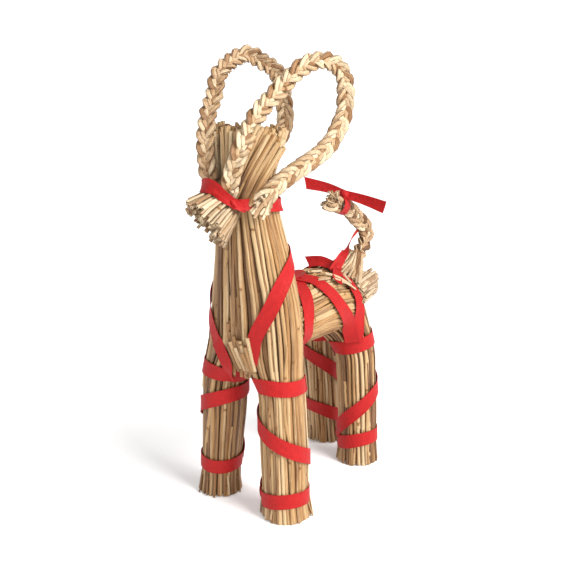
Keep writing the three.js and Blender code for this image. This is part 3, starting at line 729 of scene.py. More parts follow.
def ribbon_material():
    """Red woven ribbon: fine ribs across, fine threads along it, painted shade in their troughs,
    painted fold shade and highlight in blotches, dark edges and a soft sheen.
    """
    found = bpy.data.materials.get("red ribbon")
    if found:
        return found
    colours = bpy.context.scene.goat_colours
    g = Graph("red ribbon")
    weave = g.attribute("weave", "Vector")
    across, along, _ = g.node("SeparateXYZ", weave).outputs
    ribs = g.math("SINE", g.math("MULTIPLY", along, 2 * math.pi / RIB_PITCH))
    threads = g.math("SINE", g.math("MULTIPLY", across, 2 * math.pi / THREAD_PITCH))
    cloth = g.math("ADD", g.math("MULTIPLY", ribs, 0.35), g.math("MULTIPLY", threads, 0.15))
    # painted shade and highlight: blotches darker and lighter than the red stand for the ribbon's folds, and
    # its roughness follows them
    fold_shade_noise = g.noise(weave, (0.35, 0.12, 1.0), 3.0, 0.6)
    red = tuple(colours.ribbon)
    dark = tuple(c * 0.8 for c in red)
    light = (min(red[0] * 1.15, 1.0), red[1] * 1.7, red[2] * 1.6)
    colour = g.ramp(fold_shade_noise, (0.2, dark), (0.5, red), (0.9, light))
    # painted shade: the weave's troughs, between its ribs and threads, are darker
    colour = g.mix(g.span(cloth, -0.5, 0.5, 0.16, 0), colour, tuple(c * 0.45 for c in red))
    selvage = g.span(g.math("ABSOLUTE", across), 5.1, 5.7)
    colour = g.mix(g.math("MULTIPLY", selvage, 0.35), colour, dark)
    creases = g.bump(g.noise(weave, (0.16, 0.3, 1.0)), 0.5, 0.0012)
    return g.surface(
        Base_Color=colour,
        Roughness=g.span(fold_shade_noise, 0.3, 0.8, 0.5, 0.66),
        Sheen_Weight=0.03,
        Sheen_Roughness=0.4,
        Sheen_Tint=(1.0, 0.55, 0.5, 1.0),
        Specular_IOR_Level=0.18,
        Normal=g.bump(cloth, 0.35, 0.00012, creases),
    )


# ---------------------------------------------------------------- ribbons
class Ribbon:
    """Strips of one ribbon, laid from a grid and given their thickness."""

    ACROSS = 4  # faces across a strip
    SMOOTH = 50  # edges below this angle are smooth, in degrees

    def __init__(self):
        self.parts = []
        self.length = 0.0

    def keep(self, obj, corners, weave):
        """Moves a part's corners to their places, with the place of each in the weave."""
        obj.data.vertices.foreach_set("co", ((corners - ORIGIN) * MM).ravel())
        layer = obj.data.attributes.new("weave", "FLOAT_VECTOR", "POINT")
        layer.data.foreach_set("vector", weave.astype(np.float32).ravel())
        self.parts.append(obj)

    def strip(self, points, normals, width, curl=0.0, edge=0.0, cut=(0.0, 0.0)):
        """A strip along points, flat to normals, in millimetres. curl raises both its edges, edge
        raises one of them and lowers the other, and cut slants its two ends."""
        points = np.asarray(points, float)
        count = len(points)
        tangents = unit(np.gradient(points, axis=0))
        normals = unit(normals - (normals * tangents).sum(1, keepdims=True) * tangents)
        across = np.cross(tangents, normals)
        along = distances(points)
        width = np.broadcast_to(np.asarray(width, float), (count,))
        deselect()
        bpy.ops.mesh.primitive_grid_add(x_subdivisions=self.ACROSS, y_subdivisions=count - 1, size=2)
        obj = bpy.context.object
        flat = np.array([v.co[:] for v in obj.data.vertices])
        row = np.rint((flat[:, 1] + 1) / 2 * (count - 1)).astype(int)
        side = flat[:, 0]
        slant = np.where(row == 0, cut[0], 0) + np.where(row == count - 1, cut[1], 0)
        corners = (
            points[row]
            + across[row] * (side * width[row] / 2)[:, None]
            + normals[row] * (curl * side**2 + edge * side)[:, None]
            + tangents[row] * (slant * side)[:, None]
        )
        weave = np.stack([side * width[row] / 2, along[row] + self.length, np.zeros(len(row))], axis=1)
        self.keep(obj, corners, weave)
        self.length += float(along[-1])

    def lump(self, centre, sizes, turn=0.0):
        """A knot: a ball pulled into a small cushion."""
        deselect()
        bpy.ops.mesh.primitive_uv_sphere_add(segments=14, ring_count=9, radius=1, location=(0, 0, 0))
        obj = bpy.context.object
        flat = np.array([v.co[:] for v in obj.data.vertices])
        ridge = 1 + 0.12 * np.sin(flat[:, 0] * 5 + flat[:, 2] * 3) + 0.06 * np.sin(flat[:, 1] * 9)
        local = flat * ridge[:, None] * np.asarray(sizes)
        cos, sin = math.cos(turn), math.sin(turn)
        x = local[:, 0] * cos - local[:, 2] * sin
        z = local[:, 0] * sin + local[:, 2] * cos
        corners = np.stack([x, local[:, 1], z], axis=1) + np.asarray(centre, float)
        self.keep(obj, corners, local)

    def finish(self, name, node, rests_on):
        """Joins the strips into one thin ribbon that stands for its solid."""
        thickness = bpy.context.scene.goat_sizes.ribbon_thickness
        for obj in self.parts:
            activate(obj)
            if is_open(obj.data):
                modifier = obj.modifiers.new("thickness", "SOLIDIFY")
                modifier.thickness = thickness
                modifier.offset = 1.0
                bpy.ops.object.modifier_apply(modifier=modifier.name)
        activate(self.parts[0])
        for obj in self.parts:
            obj.select_set(True)
        if len(self.parts) > 1:
            bpy.ops.object.join()
        obj = bpy.context.object
        obj.name = name
        obj.data.name = name
        bpy.ops.object.transform_apply(location=True, rotation=True, scale=True)
        obj.data.materials.clear()
        obj.data.materials.append(ribbon_material())
        settle(obj, self.SMOOTH, node)


def is_open(mesh):
    """True if some edge of the mesh has only one face."""
    made = bmesh.new()
    made.from_mesh(mesh)
    found = any(edge.is_boundary for edge in made.edges)
    made.free()
    return found


def on_skin(half, s, theta, lift):
    """A place on a half's straws and the way out there."""
    return half.point(s, theta, lift), half.normal(s, theta)


def on_body(halves, s, phi, lift):
    """A place round the neck or torso by phi, and the way out there."""
    turn = math.atan2(math.sin(phi), math.cos(phi))
    on_left = abs(turn) <= math.pi / 2
    start = turn if on_left else math.copysign(math.pi - abs(turn), turn)
    return on_skin(halves[0] if on_left else halves[1], s, start * 2 * ARC_SHARE * 0.995, lift)


def unzipped(places):
    """Points and normals as two arrays, from pairs of them."""
    points, normals = zip(*places)
    return np.array(points), np.array(normals)


def route(table, halves, steps, lift, mirrored=False):
    """Points and normals of a ribbon round a body."""
    places = []
    for t in np.linspace(0, table[1][-1][0], steps):
        at = sample(table, t)
        phi = math.radians(180 - at["phi"] if mirrored else at["phi"])
        places.append(on_body(halves, at["at"], phi, lift))
    return relaxed(*unzipped(places))


def relaxed(points, normals, rounds=2):
    """A route pulled a little straighter, as a tight ribbon is."""
    for _ in range(rounds):
        points[1:-1] = (points[:-2] + 2 * points[1:-1] + points[2:]) / 4
        normals[1:-1] = normals[:-2] + 2 * normals[1:-1] + normals[2:]
        normals = unit(normals)
    return points, normals


def wind_leg(name):
    """The ribbon of one leg: two turns, each with a frayed corner on a left leg, and the spiral."""
    half = LEGS[name]
    width = bpy.context.scene.goat_sizes.ribbon_width / MM
    top, bottom, spiral = WINDINGS[name]
    ribbon = Ribbon()
    rng = random.Random(name)
    for height, dip, high_side in (top, bottom):
        places = []
        waver = rng.uniform(0, 6)
        for theta in np.linspace(0, 2 * math.pi, 73):
            far = (1 - math.cos(theta - math.radians(high_side))) / 2
            s = height - dip * far**2 + 0.4 * math.sin(2 * theta + waver)
            places.append(on_skin(half, s, theta, 1.0))
        ribbon.strip(*unzipped(places), width, edge=rng.uniform(-0.15, 0.15))
        if half.side > 0:
            start, out = on_skin(half, height - 4, FRAY_ANGLE, 1.2)
            side = unit(np.cross(out, (0, 0, half.side)))
            bend = start + side * 3 + out * 1.2 + [0, 0, 1.0]
            tip = start + side * 7 + out * 1.5 + [0, 0, 4]
            loose = smooth_line([start, bend, tip], 6)
            ribbon.strip(loose, np.tile(out, (6, 1)), np.linspace(4.5, 1.0, 6), curl=0.4)
    turns = stations("s z", spiral)
    first, last = spiral[0][0], spiral[-1][0]
    places = [
        on_skin(half, sample(turns, angle)["z"], math.radians(angle), 1.55)
        for angle in np.linspace(first, last, int(abs(last - first) / 5))
    ]
    ribbon.strip(*relaxed(*unzipped(places)), width, edge=rng.uniform(-0.15, 0.15))
    return ribbon


# ---------------------------------------------------------------- operators
class GoatOperator:
    """What the goat's operators share."""

    bl_options = {"REGISTER", "UNDO"}


def wander(rng, count, size):
    """A slow random drift over count places."""
    knots = [rng.gauss(0, size) for _ in range(6)]
    return np.interp(np.linspace(0, 5, count), range(6), knots)


SHORTEST = 12  # a straw shorter than this is left out
RIM = 0.5  # how far the outermost straws reach past the skin


def straw_tone(rng, base=0.5, spread=0.2):
    """A straw's lightness, its warmth, a number that lay writes its edges over, and one."""
    return (rng.gauss(base, spread), rng.random(), rng.random(), 1.0)


def skin_straws(
    bundle, half, rng, count, depth, s_from, s_to, base=0.5, segments=24, drift=0.035, proud=0.3
):
    """Straws side by side on a half's skin, depth below its mean surface. s_from and s_to give each
    one's ends."""
    sizes = bpy.context.scene.goat_sizes
    mean = sizes.straw_radius / MM
    for i in range(count):
        theta = 2 * math.pi * (i + rng.uniform(-0.4, 0.4)) / count
        turn = math.atan2(math.sin(theta), math.cos(theta))
        radius = mean * rng.choice((0.72, 0.88, 1.0, 1.0, 1.12, 1.3)) * rng.uniform(0.92, 1.08)
        start = s_from(turn, rng)
        stop = s_to(turn, rng)
        if stop - start < SHORTEST:
            continue
        steps = np.linspace(start, stop, segments * 2 + 1)
        sway = wander(rng, len(steps), drift) + np.linspace(-1, 1, len(steps)) * rng.gauss(0, drift)
        sway = sway * min((stop - start) / 150, 1.0)
        rise = wander(rng, len(steps), 0.3) + rng.uniform(-0.4, proud)
        line = []
        for s, dt, dr in zip(steps, sway, rise):
            angle = theta + dt
            lift = RIM - radius - depth + dr
            point = half.point(min(s, CROWN), angle, lift)
            if s > CROWN:
                below = half.point(CROWN - 8, angle, lift)
                point = point + (point - below) / 8 * (s - CROWN)
            line.append(point)
        line = np.array(line)
        line[:, 2] = np.maximum(line[:, 2], 0.0)
        ups = half.normal(min((start + stop) / 2, CROWN), theta)
        thin = radius * rng.uniform(0.7, 1.0)
        tone = straw_tone(rng, base)
        bundle.lay(line, radius, thin, ups, rng, segments, tone, taper=rng.uniform(0.8, 1.0))


def fray_foot(bundle, half, rng, count, start, swing, spread, height):
    """Fine frayed ends at a foot. start, spread and height are spans for where one starts, how far
    it stands off and how high it ends."""
    radius = bpy.context.scene.goat_sizes.straw_radius / MM
    for _ in range(count):
        angle = rng.uniform(0, 2 * math.pi)
        top = half.point(rng.uniform(*start), angle, 0.2)
        turn = rng.uniform(-swing, swing) if swing else 0.0
        foot = half.point(0, angle + turn, rng.uniform(*spread))
        foot[2] = rng.uniform(*height)
        line = smooth_line([top, (top + foot) / 2, foot], 5)
        facing = half.normal(8, angle)
        bundle.lay(line, radius * 0.6, radius * 0.35, facing, rng, 3, straw_tone(rng, 0.55), 2.0)


CORE_SIDES = 24
NECK_RINGS = (
    1.5, 14, 50, 80, 104, 112, 120, 128, 136, 156, 180, 200, 216, 241, 254, 266, 282, 292
)
TORSO_RINGS = (1.5, 14, 55, 84, 104, 116, 130, 146, 160, 176, 202, 234, 262)


def core_rings(half, stops, lift):
    """Rings round a half, below its straws."""
    turns = [2 * math.pi * k / CORE_SIDES for k in range(CORE_SIDES)]
    return [[half.point(s, turn, lift) for turn in turns] for s in stops]


class GOAT_OT_neck(GoatOperator, Operator):
    """Bundles the forelegs, neck and crown"""

    bl_idname = "straw_goat.neck_and_forelegs"
    bl_label = "Neck and forelegs"

    def execute(self, context):
        rng = random.Random(11)
        bundle = Bundle()
        sizes = context.scene.goat_sizes
        radius = sizes.straw_radius / MM
        for half in NECK_HALVES:
            bundle.core(core_rings(half, NECK_RINGS, -3.4))
            skin_straws(
                bundle, half, rng, sizes.straws_per_leg, 0.0,
                lambda turn, r: r.uniform(0.0, 1.4), lambda turn, r: r.uniform(302, 308),
                # painted light and shade: the left half's straws are lighter, against the horn's shadow on
                # the crown, and the right half's darker, for the shade on the right foreleg
                base=0.55 if half is FORE_LEFT else 0.45, segments=30,
            )
            # a second, deeper layer, its straws darker as painted shade
            skin_straws(
                bundle, half, rng, sizes.straws_per_leg - 6, 2.2,
                lambda turn, r: r.uniform(0.3, 2.5), lambda turn, r: r.uniform(299, 306), base=0.42,
            )
            # broken straws that lie on the others
            skin_straws(
                bundle, half, rng, 9, -0.7,
                lambda turn, r: r.choice((r.uniform(0, 1), r.uniform(30, 190))),
                lambda turn, r: r.uniform(60, 240), base=0.56, segments=14, drift=0.09, proud=0.1,
            )
            fray_foot(bundle, half, rng, 16, (12, 26), 0.1, (0.4, 2.2), (0.2, 4.0))
            self.fill_crown(bundle, half, rng, radius)
        self.loosen_fork(bundle, rng, radius)
        # slanting straws on the front of the crown, over its left side
        for i in range(24):
            share = (i + rng.uniform(-0.5, 0.5)) / 23
            outer = 2.6 * (i % 2)
            low_x = -4 + 22 * share + rng.uniform(-2, 2)
            low = np.array([low_x, -85 + 3 * share + outer, 250 + 3 * share])
            top_z = 310 - 14 * share + rng.uniform(-5, 3)
            top = np.array([26 + 14 * share, -81 + 10 * share + outer, top_z])
            middle = (low + top) / 2 + np.array([rng.uniform(-1, 1), -2.0 + rng.uniform(-1, 1), 0.0])
            wide = radius * rng.uniform(0.8, 1.25)
            thin = wide * rng.uniform(0.7, 1.0)
            line = smooth_line([low, middle, top], 9)
            bundle.lay(line, wide, thin, (0.3, -0.9, 0), rng, 5, straw_tone(rng, 0.4))
        bundle.finish(
            "neck_and_foreleg_straws", "neck_and_forelegs", slot="straw", materials=straw_finishes()
        )
        return {"FINISHED"}

    def fill_crown(self, bundle, half, rng, radius):
        """Cut straw ends that fill one half of the crown."""
        rim = [half.point(CROWN, a, -3) for a in np.linspace(0, 2 * math.pi, 13)]
        middle = np.mean(rim, axis=0)
        for _ in range(38):
            angle, share = rng.uniform(0, 2 * math.pi), math.sqrt(rng.random()) * 0.85
            top = middle + (half.point(CROWN, angle, -3) - middle) * share
            low = middle + (half.point(270, angle, -3) - middle) * share
            low[2] = 276
            top = top + np.array([rng.uniform(-1, 1), rng.uniform(-1, 1), rng.uniform(2, 9)])
            wide = radius * rng.uniform(0.8, 1.2)
            line = np.array([low, (low + top) / 2, top])
            bundle.lay(line, wide, wide * 0.85, (0, 1, 0), rng, 2, straw_tone(rng))

    def loosen_fork(self, bundle, rng, radius):
        """Loose ends between the legs, where the neck forks, and thick broken straws over them."""
        for _ in range(26):
            x = rng.uniform(-13, 13)
            top = np.array([x * 0.6 - 1, -79 + abs(x) * 0.1 + rng.uniform(0, 4), rng.uniform(145, 180)])
            end_y = -76 + abs(x) * 0.15 + rng.uniform(0, 7)
            end = np.array([x, end_y, rng.uniform(113, 126) - abs(x) * 0.3])
            wide = radius * rng.uniform(0.7, 1.1)
            middle = (top + end) / 2 + np.array([0, rng.uniform(-1.2, 0.6), 0])
            line = smooth_line([top, middle, end], 8)
            bundle.lay(line, wide, wide * 0.7, (0, -1, 0), rng, 5, straw_tone(rng, 0.46))
        for i in range(9):
            top_y = -80 + rng.uniform(-0.6, 0.6)
            top = np.array([-6 + 2.4 * i, top_y, 138 + 4.5 * (i % 3) + rng.uniform(-3, 3)])
            end_y = -76 + rng.uniform(-0.8, 0.8)
            end = np.array([2 + 1.9 * i, end_y, 119.5 + rng.uniform(-1.5, 2.5)])
            wide = radius * rng.uniform(0.95, 1.25)
            line = smooth_line([top, (top + end) / 2 + np.array([0, -0.4, 0]), end], 6)
            bundle.lay(line, wide, wide * 0.75, (0, -1, 0), rng, 3, straw_tone(rng, 0.54, 0.16), 3.0)


def barrel_point(y, phi, side, lift):
    """A place on the torso's oval of lengthwise straws."""
    at = sample(BARREL, y)
    u = (at["halfWidth"] + lift) * math.cos(phi)
    return np.array([side * u, y, at["z"] + (at["halfDepth"] + lift) * math.sin(phi)])


def ribbon_at(table, phi):
    """How far along the body a ribbon lies, at phi degrees round it."""
    names, rows = table
    turns, places = rows[:, names.index("phi")], rows[:, names.index("at")]
    order = np.argsort(turns)
    return float(np.interp(phi, turns[order], places[order]))


LOWEST_RIBBON = -34  # below this phi, in degrees, no ribbon covers the straws' ends


def torso_leg_end(turn, rng):
    """Where a hind leg's straw ends: under the rump ribbon, or at the belly."""
    phi = math.degrees(turn) / (2 * ARC_SHARE)
    if abs(turn) > math.pi * ARC_SHARE or phi < LOWEST_RIBBON:
        return 146
    return ribbon_at(RUMP_RIBBON, max(min(phi, 84), LOWEST_RIBBON)) + rng.uniform(0, 4)


class GOAT_OT_torso(GoatOperator, Operator):
    """Bundles the hind legs and the torso's lengthwise straws"""

    bl_idname = "straw_goat.torso_and_hind_legs"
    bl_label = "Torso and hind legs"

    def lay_lengthwise(self, bundle, half, phi, layer, rng, mean):
        """One straw along the torso, that ends under the flank or the rump ribbon."""
        degrees = math.degrees(phi)
        table = RUMP_RIBBON if degrees > -18 else FLANK_RIBBON
        at = ribbon_at(table, max(degrees, LOWEST_RIBBON))
        turn = phi if half.side > 0 else math.pi - phi
        skin = on_body(TORSO_HALVES, at, turn, 0.4 - mean - layer)[0]
        stop = skin[1] - rng.uniform(0, 2.5)
        if degrees < LOWEST_RIBBON:
            stop = skin[1] + 3 - rng.uniform(0, 5)
        radius = mean * rng.choice((0.75, 0.9, 1.0, 1.15, 1.3))
        ys = np.linspace(-52 + rng.uniform(0, 3), stop, 15)
        sway = wander(rng, 15, 0.03)
        rise = wander(rng, 15, 0.3)
        line = []
        for y, d, e in zip(ys, sway, rise):
            point = barrel_point(y, phi + d, half.side, 0.9 - radius - layer + e)
            if degrees > -60:
                # near its end the straw comes down onto the hip
                near = np.clip((y - stop + 26) / 26, 0, 1) ** 1.5
                target = np.array([skin[0], y, skin[2]])
                point = point + (target - point) * near
            line.append(point)
        up = (half.side * math.cos(phi), 0, math.sin(phi))
        thin = radius * rng.uniform(0.7, 1.0)
        # painted shade: straws in a deeper layer are darker
        tone = straw_tone(rng, 0.57 - max(layer, 0) * 0.04)
        bundle.lay(np.array(line), radius, thin, up, rng, 12, tone)

    def execute(self, context):
        rng = random.Random(23)
        bundle = Bundle()
        sizes = context.scene.goat_sizes
        radius = sizes.straw_radius / MM
        for half in TORSO_HALVES:
            bundle.core(core_rings(half, TORSO_RINGS, -3.8))
            skin_straws(
                bundle, half, rng, sizes.straws_per_leg - 2, 0.0,
                lambda turn, r: r.uniform(0, 1.2), torso_leg_end, base=0.57, segments=20,
            )
            # a second, deeper layer, its straws darker as painted shade
            skin_straws(
                bundle, half, rng, sizes.straws_per_leg - 8, 2.3,
                lambda turn, r: r.uniform(0.3, 2.5), torso_leg_end, base=0.42, segments=18,
            )
            # broken straws that lie on the others
            skin_straws(
                bundle, half, rng, 7, -0.7,
                lambda turn, r: r.choice((r.uniform(0, 1), r.uniform(30, 60))),
                lambda turn, r: r.uniform(60, 106), base=0.56, segments=10, drift=0.08, proud=0.1,
            )
            fray_foot(bundle, half, rng, 12, (10, 22), 0.0, (0.3, 1.6), (0.2, 3.0))
            for layer, count in ((0.0, 34), (2.2, 28), (-0.8, 8)):
                for i in range(count):
                    share = (i + 0.5 + rng.uniform(-0.35, 0.35)) / count
                    phi = math.radians(-90 + 180 * share)
                    self.lay_lengthwise(bundle, half, phi, layer, rng, radius)
        bundle.finish(
            "torso_and_hind_leg_straws", "torso_and_hind_legs", slot="straw", materials=straw_finishes()
        )
        return {"FINISHED"}


GOLDEN_ANGLE = 2.39996  # spreads the straws evenly over the muzzle's section


class GOAT_OT_muzzle(GoatOperator, Operator):
    """Flares the muzzle's cut straws"""

    bl_idname = "straw_goat.muzzle"
    bl_label = "Muzzle"

    def execute(self, context):
        rng = random.Random(37)
        bundle = Bundle()
        sizes = context.scene.goat_sizes
        axis = unit(MUZZLE_TIP - MUZZLE_ROOT)
        across = unit(np.array([1.0, 0, 0]) - axis[0] * axis)
        deep = np.cross(across, axis)
        turn = math.cos(MUZZLE_TURN), math.sin(MUZZLE_TURN)
        across, deep = across * turn[0] + deep * turn[1], deep * turn[0] - across * turn[1]
        length = np.linalg.norm(MUZZLE_TIP - MUZZLE_ROOT)
        count = sizes.straws_in_muzzle
        for i in range(count):
            share = math.sqrt((i + 0.5) / count)
            angle = i * GOLDEN_ANGLE + rng.uniform(-0.12, 0.12)
            a, b = share * math.cos(angle), share * math.sin(angle)
            radius = sizes.straw_radius / MM * rng.uniform(0.75, 1.2)
            reach = 1.0 + rng.uniform(-0.12, 0.08) - 0.15 * b + 0.12 * a
            line = []
            for t in np.linspace(-0.25, reach, 7):
                at = sample(MUZZLE_SECTIONS, max(t, 0.0))
                spread = 1 + 0.1 * max(t, 0) ** 2 * rng.uniform(0.4, 1.2)
                sag = 2.6 * max(t, 0) ** 2 * max(-b, 0)
                point = MUZZLE_ROOT + axis * t * length
                point = point + across * a * (at["across"] * spread - radius + 0.8)
                point = point + deep * b * (at["deep"] * spread - radius + 0.8)
                line.append(point - np.array([0, 0, sag]))
            up = across * rng.uniform(-1, 1) + deep
            thin = radius * rng.uniform(0.4, 0.9)
            tone = straw_tone(rng, 0.56)
            bundle.lay(np.array(line), radius, thin, up, rng, 5, tone, rng.uniform(0.8, 2.0))
        bundle.finish("muzzle_straws", "muzzle", slot="straw", materials=plait_finishes())
        return {"FINISHED"}


PLAIT_SMOOTH = 22  # edges below this angle are smooth, in degrees
PLAIT_RISE = 2.25  # how far a strand weaves to each side of the plait's middle


def plait(bundle, line, facing, rng, width, flare, loose):
    """Three strands of flattened straws plaited along a line. It flares over its last share, which
    loose gives."""
    pitch = bpy.context.scene.goat_sizes.plait_pitch / MM
    count = int(line_length(smooth_line(line, 200)) / 1.9)
    centre = smooth_line(line, count)
    tangent = unit(np.gradient(centre, axis=0))
    face = np.asarray(facing, float)
    face = unit(face - (tangent @ face)[:, None] * tangent)
    wide = np.cross(tangent, face)
    along = distances(centre)
    share = along / along[-1]
    spread = 1 + flare * np.clip((share - 1 + loose) / loose, 0, 1)
    strand_width = width * 0.46
    reach = width / 2 - strand_width / 2
    start = rng.uniform(0, 6)
    for strand in range(3):
        phase = 2 * math.pi * along / pitch + strand * 2 * math.pi / 3 + start
        wave = np.sin(phase + 0.18 * np.sin(2 * phase))
        path = centre + wide * (reach * spread * wave)[:, None]
        path = path + face * (PLAIT_RISE * spread * np.sin(2 * phase))[:, None]
        way = unit(np.gradient(path, axis=0))
        # a flat strand lies tilted over the one that it crosses
        lean = -0.3 * np.cos(phase)
        up = unit(face - (face * way).sum(1, keepdims=True) * way)
        side = np.cross(way, up)
        up, side = (
            up * np.cos(lean)[:, None] + side * np.sin(lean)[:, None],
            side * np.cos(lean)[:, None] - up * np.sin(lean)[:, None],
        )
        # two straws side by side, in two layers
        for k in range(4):
            row, layer = k % 2, 1 - 2 * (k // 2)
            place = (row - 0.5) * strand_width / 2
            wobble = wander(rng, count, 0.22)
            curve = path + side * (place * spread + wobble)[:, None]
            curve = curve + up * (layer * 0.8 + 0.45 * (row - 0.5))
            half_width = strand_width / 4 * rng.uniform(1.05, 1.35)
            last = count - int(rng.uniform(0, 5))
            joints = (rng.uniform(0, along[-1]), rng.uniform(0, along[-1]))
            bundle.lay(
                curve[:last], half_width, rng.uniform(0.5, 0.75), up[:last], rng,
                max(int(last * 0.9), 8), straw_tone(rng, 0.5, 0.2), 3.0, joints=joints,
            )


def tuft(bundle, root, tips, rng, count, wide=1.5, bow=1.0):
    """Short cut straws that spread from a root to tips, bent up or down by up to bow."""
    root = np.asarray(root, float)
    for i in range(count):
        share = (i + rng.uniform(-0.5, 0.5)) / (count - 1) * (len(tips) - 1)
        tip = between(share, range(len(tips)), tips)
        tip = root + (tip - root) * rng.uniform(0.8, 1.05) + [rng.gauss(0, 0.9) for _ in range(3)]
        start = root + [rng.gauss(0, 1.3) for _ in range(3)]
        middle = (start + tip) / 2 + np.array([0, 0, bow * rng.uniform(-1, 1)])
        radius = wide * rng.uniform(0.75, 1.15)
        facing = [rng.uniform(-1, 1), rng.uniform(-1, 1), 1]
        line = smooth_line([start, middle, tip], 6)
        bundle.lay(line, radius, radius * 0.6, facing, rng, 4, straw_tone(rng, 0.55), 2.0)


HORN_LEFT_TIPS = [(20, -85, 252), (23, -87, 246), (27, -85, 243), (31, -82, 243), (33, -78, 247)]
HORN_RIGHT_TIPS = [(-31, -45, 253), (-27, -48, 250), (-23, -45, 252)]
TAIL_TIPS = [(-6, 51, 226), (-7, 45, 231), (0, 44, 234), (2, 48, 241), (6, 58, 241)]
RUMP_TIPS = [
    (1, 107, 163), (4, 111, 162), (9, 116, 159), (13, 118, 156),
    (14, 114, 152.5), (14, 109, 149), (16, 105, 146), (16, 102, 143.5),
]
# Broken straws by the knot on the back, each with half its width.
BROKEN_BY_KNOT = (
    ([(15, 23, 178.2), (23, 30, 175.2), (31, 38, 167)], 1.7),
    ([(9, 27, 178.6), (2, 16, 179.2)], 1.5),
    ([(16, 11, 175.6), (22, 20, 175.8)], 1.4),
    ([(22, 24, 175), (29, 33, 170.3), (33, 42, 163.4)], 1.6),
    ([(13, 52, 176), (6, 64, 184), (1, 72, 186.5)], 1.7),
    ([(18, 47, 173), (29, 40, 169)], 1.5),
)


class GOAT_OT_horns(GoatOperator, Operator):
    """Plaits the two horns"""

    bl_idname = "straw_goat.horns"
    bl_label = "Horns"

    def execute(self, context):
        for name, line, facing, seed, root, tips, count in (
            ("horn_left", HORN_LEFT, (0.7, -0.7, 0), 41, (31, -69, 261), HORN_LEFT_TIPS, 16),
            ("horn_right", HORN_RIGHT, (0.45, -0.89, 0), 43, (-26, -30, 264), HORN_RIGHT_TIPS, 12),
        ):
            rng = random.Random(seed)
            bundle = Bundle()
            plait(bundle, line, facing, rng, 13.6, 0.3, 0.04)
            tuft(bundle, root, tips, rng, count)
            bundle.finish(
                name + "_plait", name, slot="plait", materials=plait_finishes(), smooth=PLAIT_SMOOTH
            )
        return {"FINISHED"}


class GOAT_OT_tail(GoatOperator, Operator):
    """Plaits the tail and spreads the straw ends at its root"""

    bl_idname = "straw_goat.tail"
    bl_label = "Tail"

    def execute(self, context):
        rng = random.Random(53)
        bundle = Bundle()
        plait(bundle, TAIL, TAIL_FACING, rng, 14.0, 0.6, 0.1)
        radius = context.scene.goat_sizes.straw_radius / MM
        # the tail's straws fan down under the rump ribbon
        for i in range(46):
            phi = 35 + 110 * (i + rng.uniform(-0.4, 0.4)) / 45
            at = 151 + rng.uniform(-4, 5)
            low = on_body(TORSO_HALVES, at, math.radians(phi), 0.6 + 1.8 * (i % 2))[0]
            turn = math.radians(phi - 90) * 1.3
            top_y = 94 - 5.5 * math.cos(turn) + rng.uniform(0, 4)
            top = np.array([1 - 5.5 * math.sin(turn), top_y, 178 + rng.uniform(-3, 5)])
            middle = low * 0.45 + top * 0.55 + np.array([0.0, 1.0, -1.5])
            wide = radius * rng.uniform(0.8, 1.3)
            line = smooth_line([low, middle, top], 8)
            bundle.lay(line, wide, wide * 0.7, (1, -0.8, 0.3), rng, 5, straw_tone(rng, 0.46), 3.0)
        # short ends stick out over the rump
        for i in range(34):
            share = (i + rng.uniform(-0.5, 0.5)) / 33
            at = 150 + rng.uniform(-3, 3)
            root = on_body(TORSO_HALVES, at, math.radians(62 - 50 * share), 0.8 + 1.6 * (i % 3))[0]
            tip = between(share * 7, range(8), RUMP_TIPS)
            tip = root + (tip - root) * rng.choice((0.8, 0.92, 1.0))
            tip = tip + np.array([rng.uniform(-5, 2), 0, rng.uniform(-1.2, 1.2)])
            wide = radius * rng.uniform(0.85, 1.2)
            line = smooth_line([root, (root + tip) / 2 + np.array([0.8, 0, 0.6]), tip], 6)
            bundle.lay(line, wide, wide * 0.7, (0.6, 0, 1), rng, 3, straw_tone(rng, 0.55), 3.0)
        # the cut end past the bow
        tuft(bundle, (0, 64, 229), TAIL_TIPS, rng, 20, 1.4, 1.5)
        for line, wide in BROKEN_BY_KNOT:
            tone = straw_tone(rng, 0.58, 0.08)
            bundle.lay(smooth_line(line, 7), wide, 0.7, (0.5, -0.2, 1), rng, 4, tone, 3.0)
        bundle.finish(
            "tail_plait", "tail", slot="plait", materials=plait_finishes(), smooth=PLAIT_SMOOTH
        )
        return {"FINISHED"}


class GOAT_OT_leg_ribbons(GoatOperator, Operator):
    """Winds the ribbon round the four legs"""

    bl_idname = "straw_goat.leg_ribbons"
    bl_label = "Leg ribbons"

    def execute(self, context):
        for name in WINDINGS:
            under = "neck_and_foreleg_straws" if name.startswith("fore") else "torso_and_hind_leg_straws"
            wind_leg(name).finish("wound_ribbon_" + name, "ribbon_" + name, rests_on=[under])
        return {"FINISHED"}


BACK_STRAND = [
    (10, 40, 175.5), (9.5, 49, 179), (8.5, 59, 184.5), (6.5, 70, 188.5), (3, 83, 195), (-2, 101.5, 199.8)
]


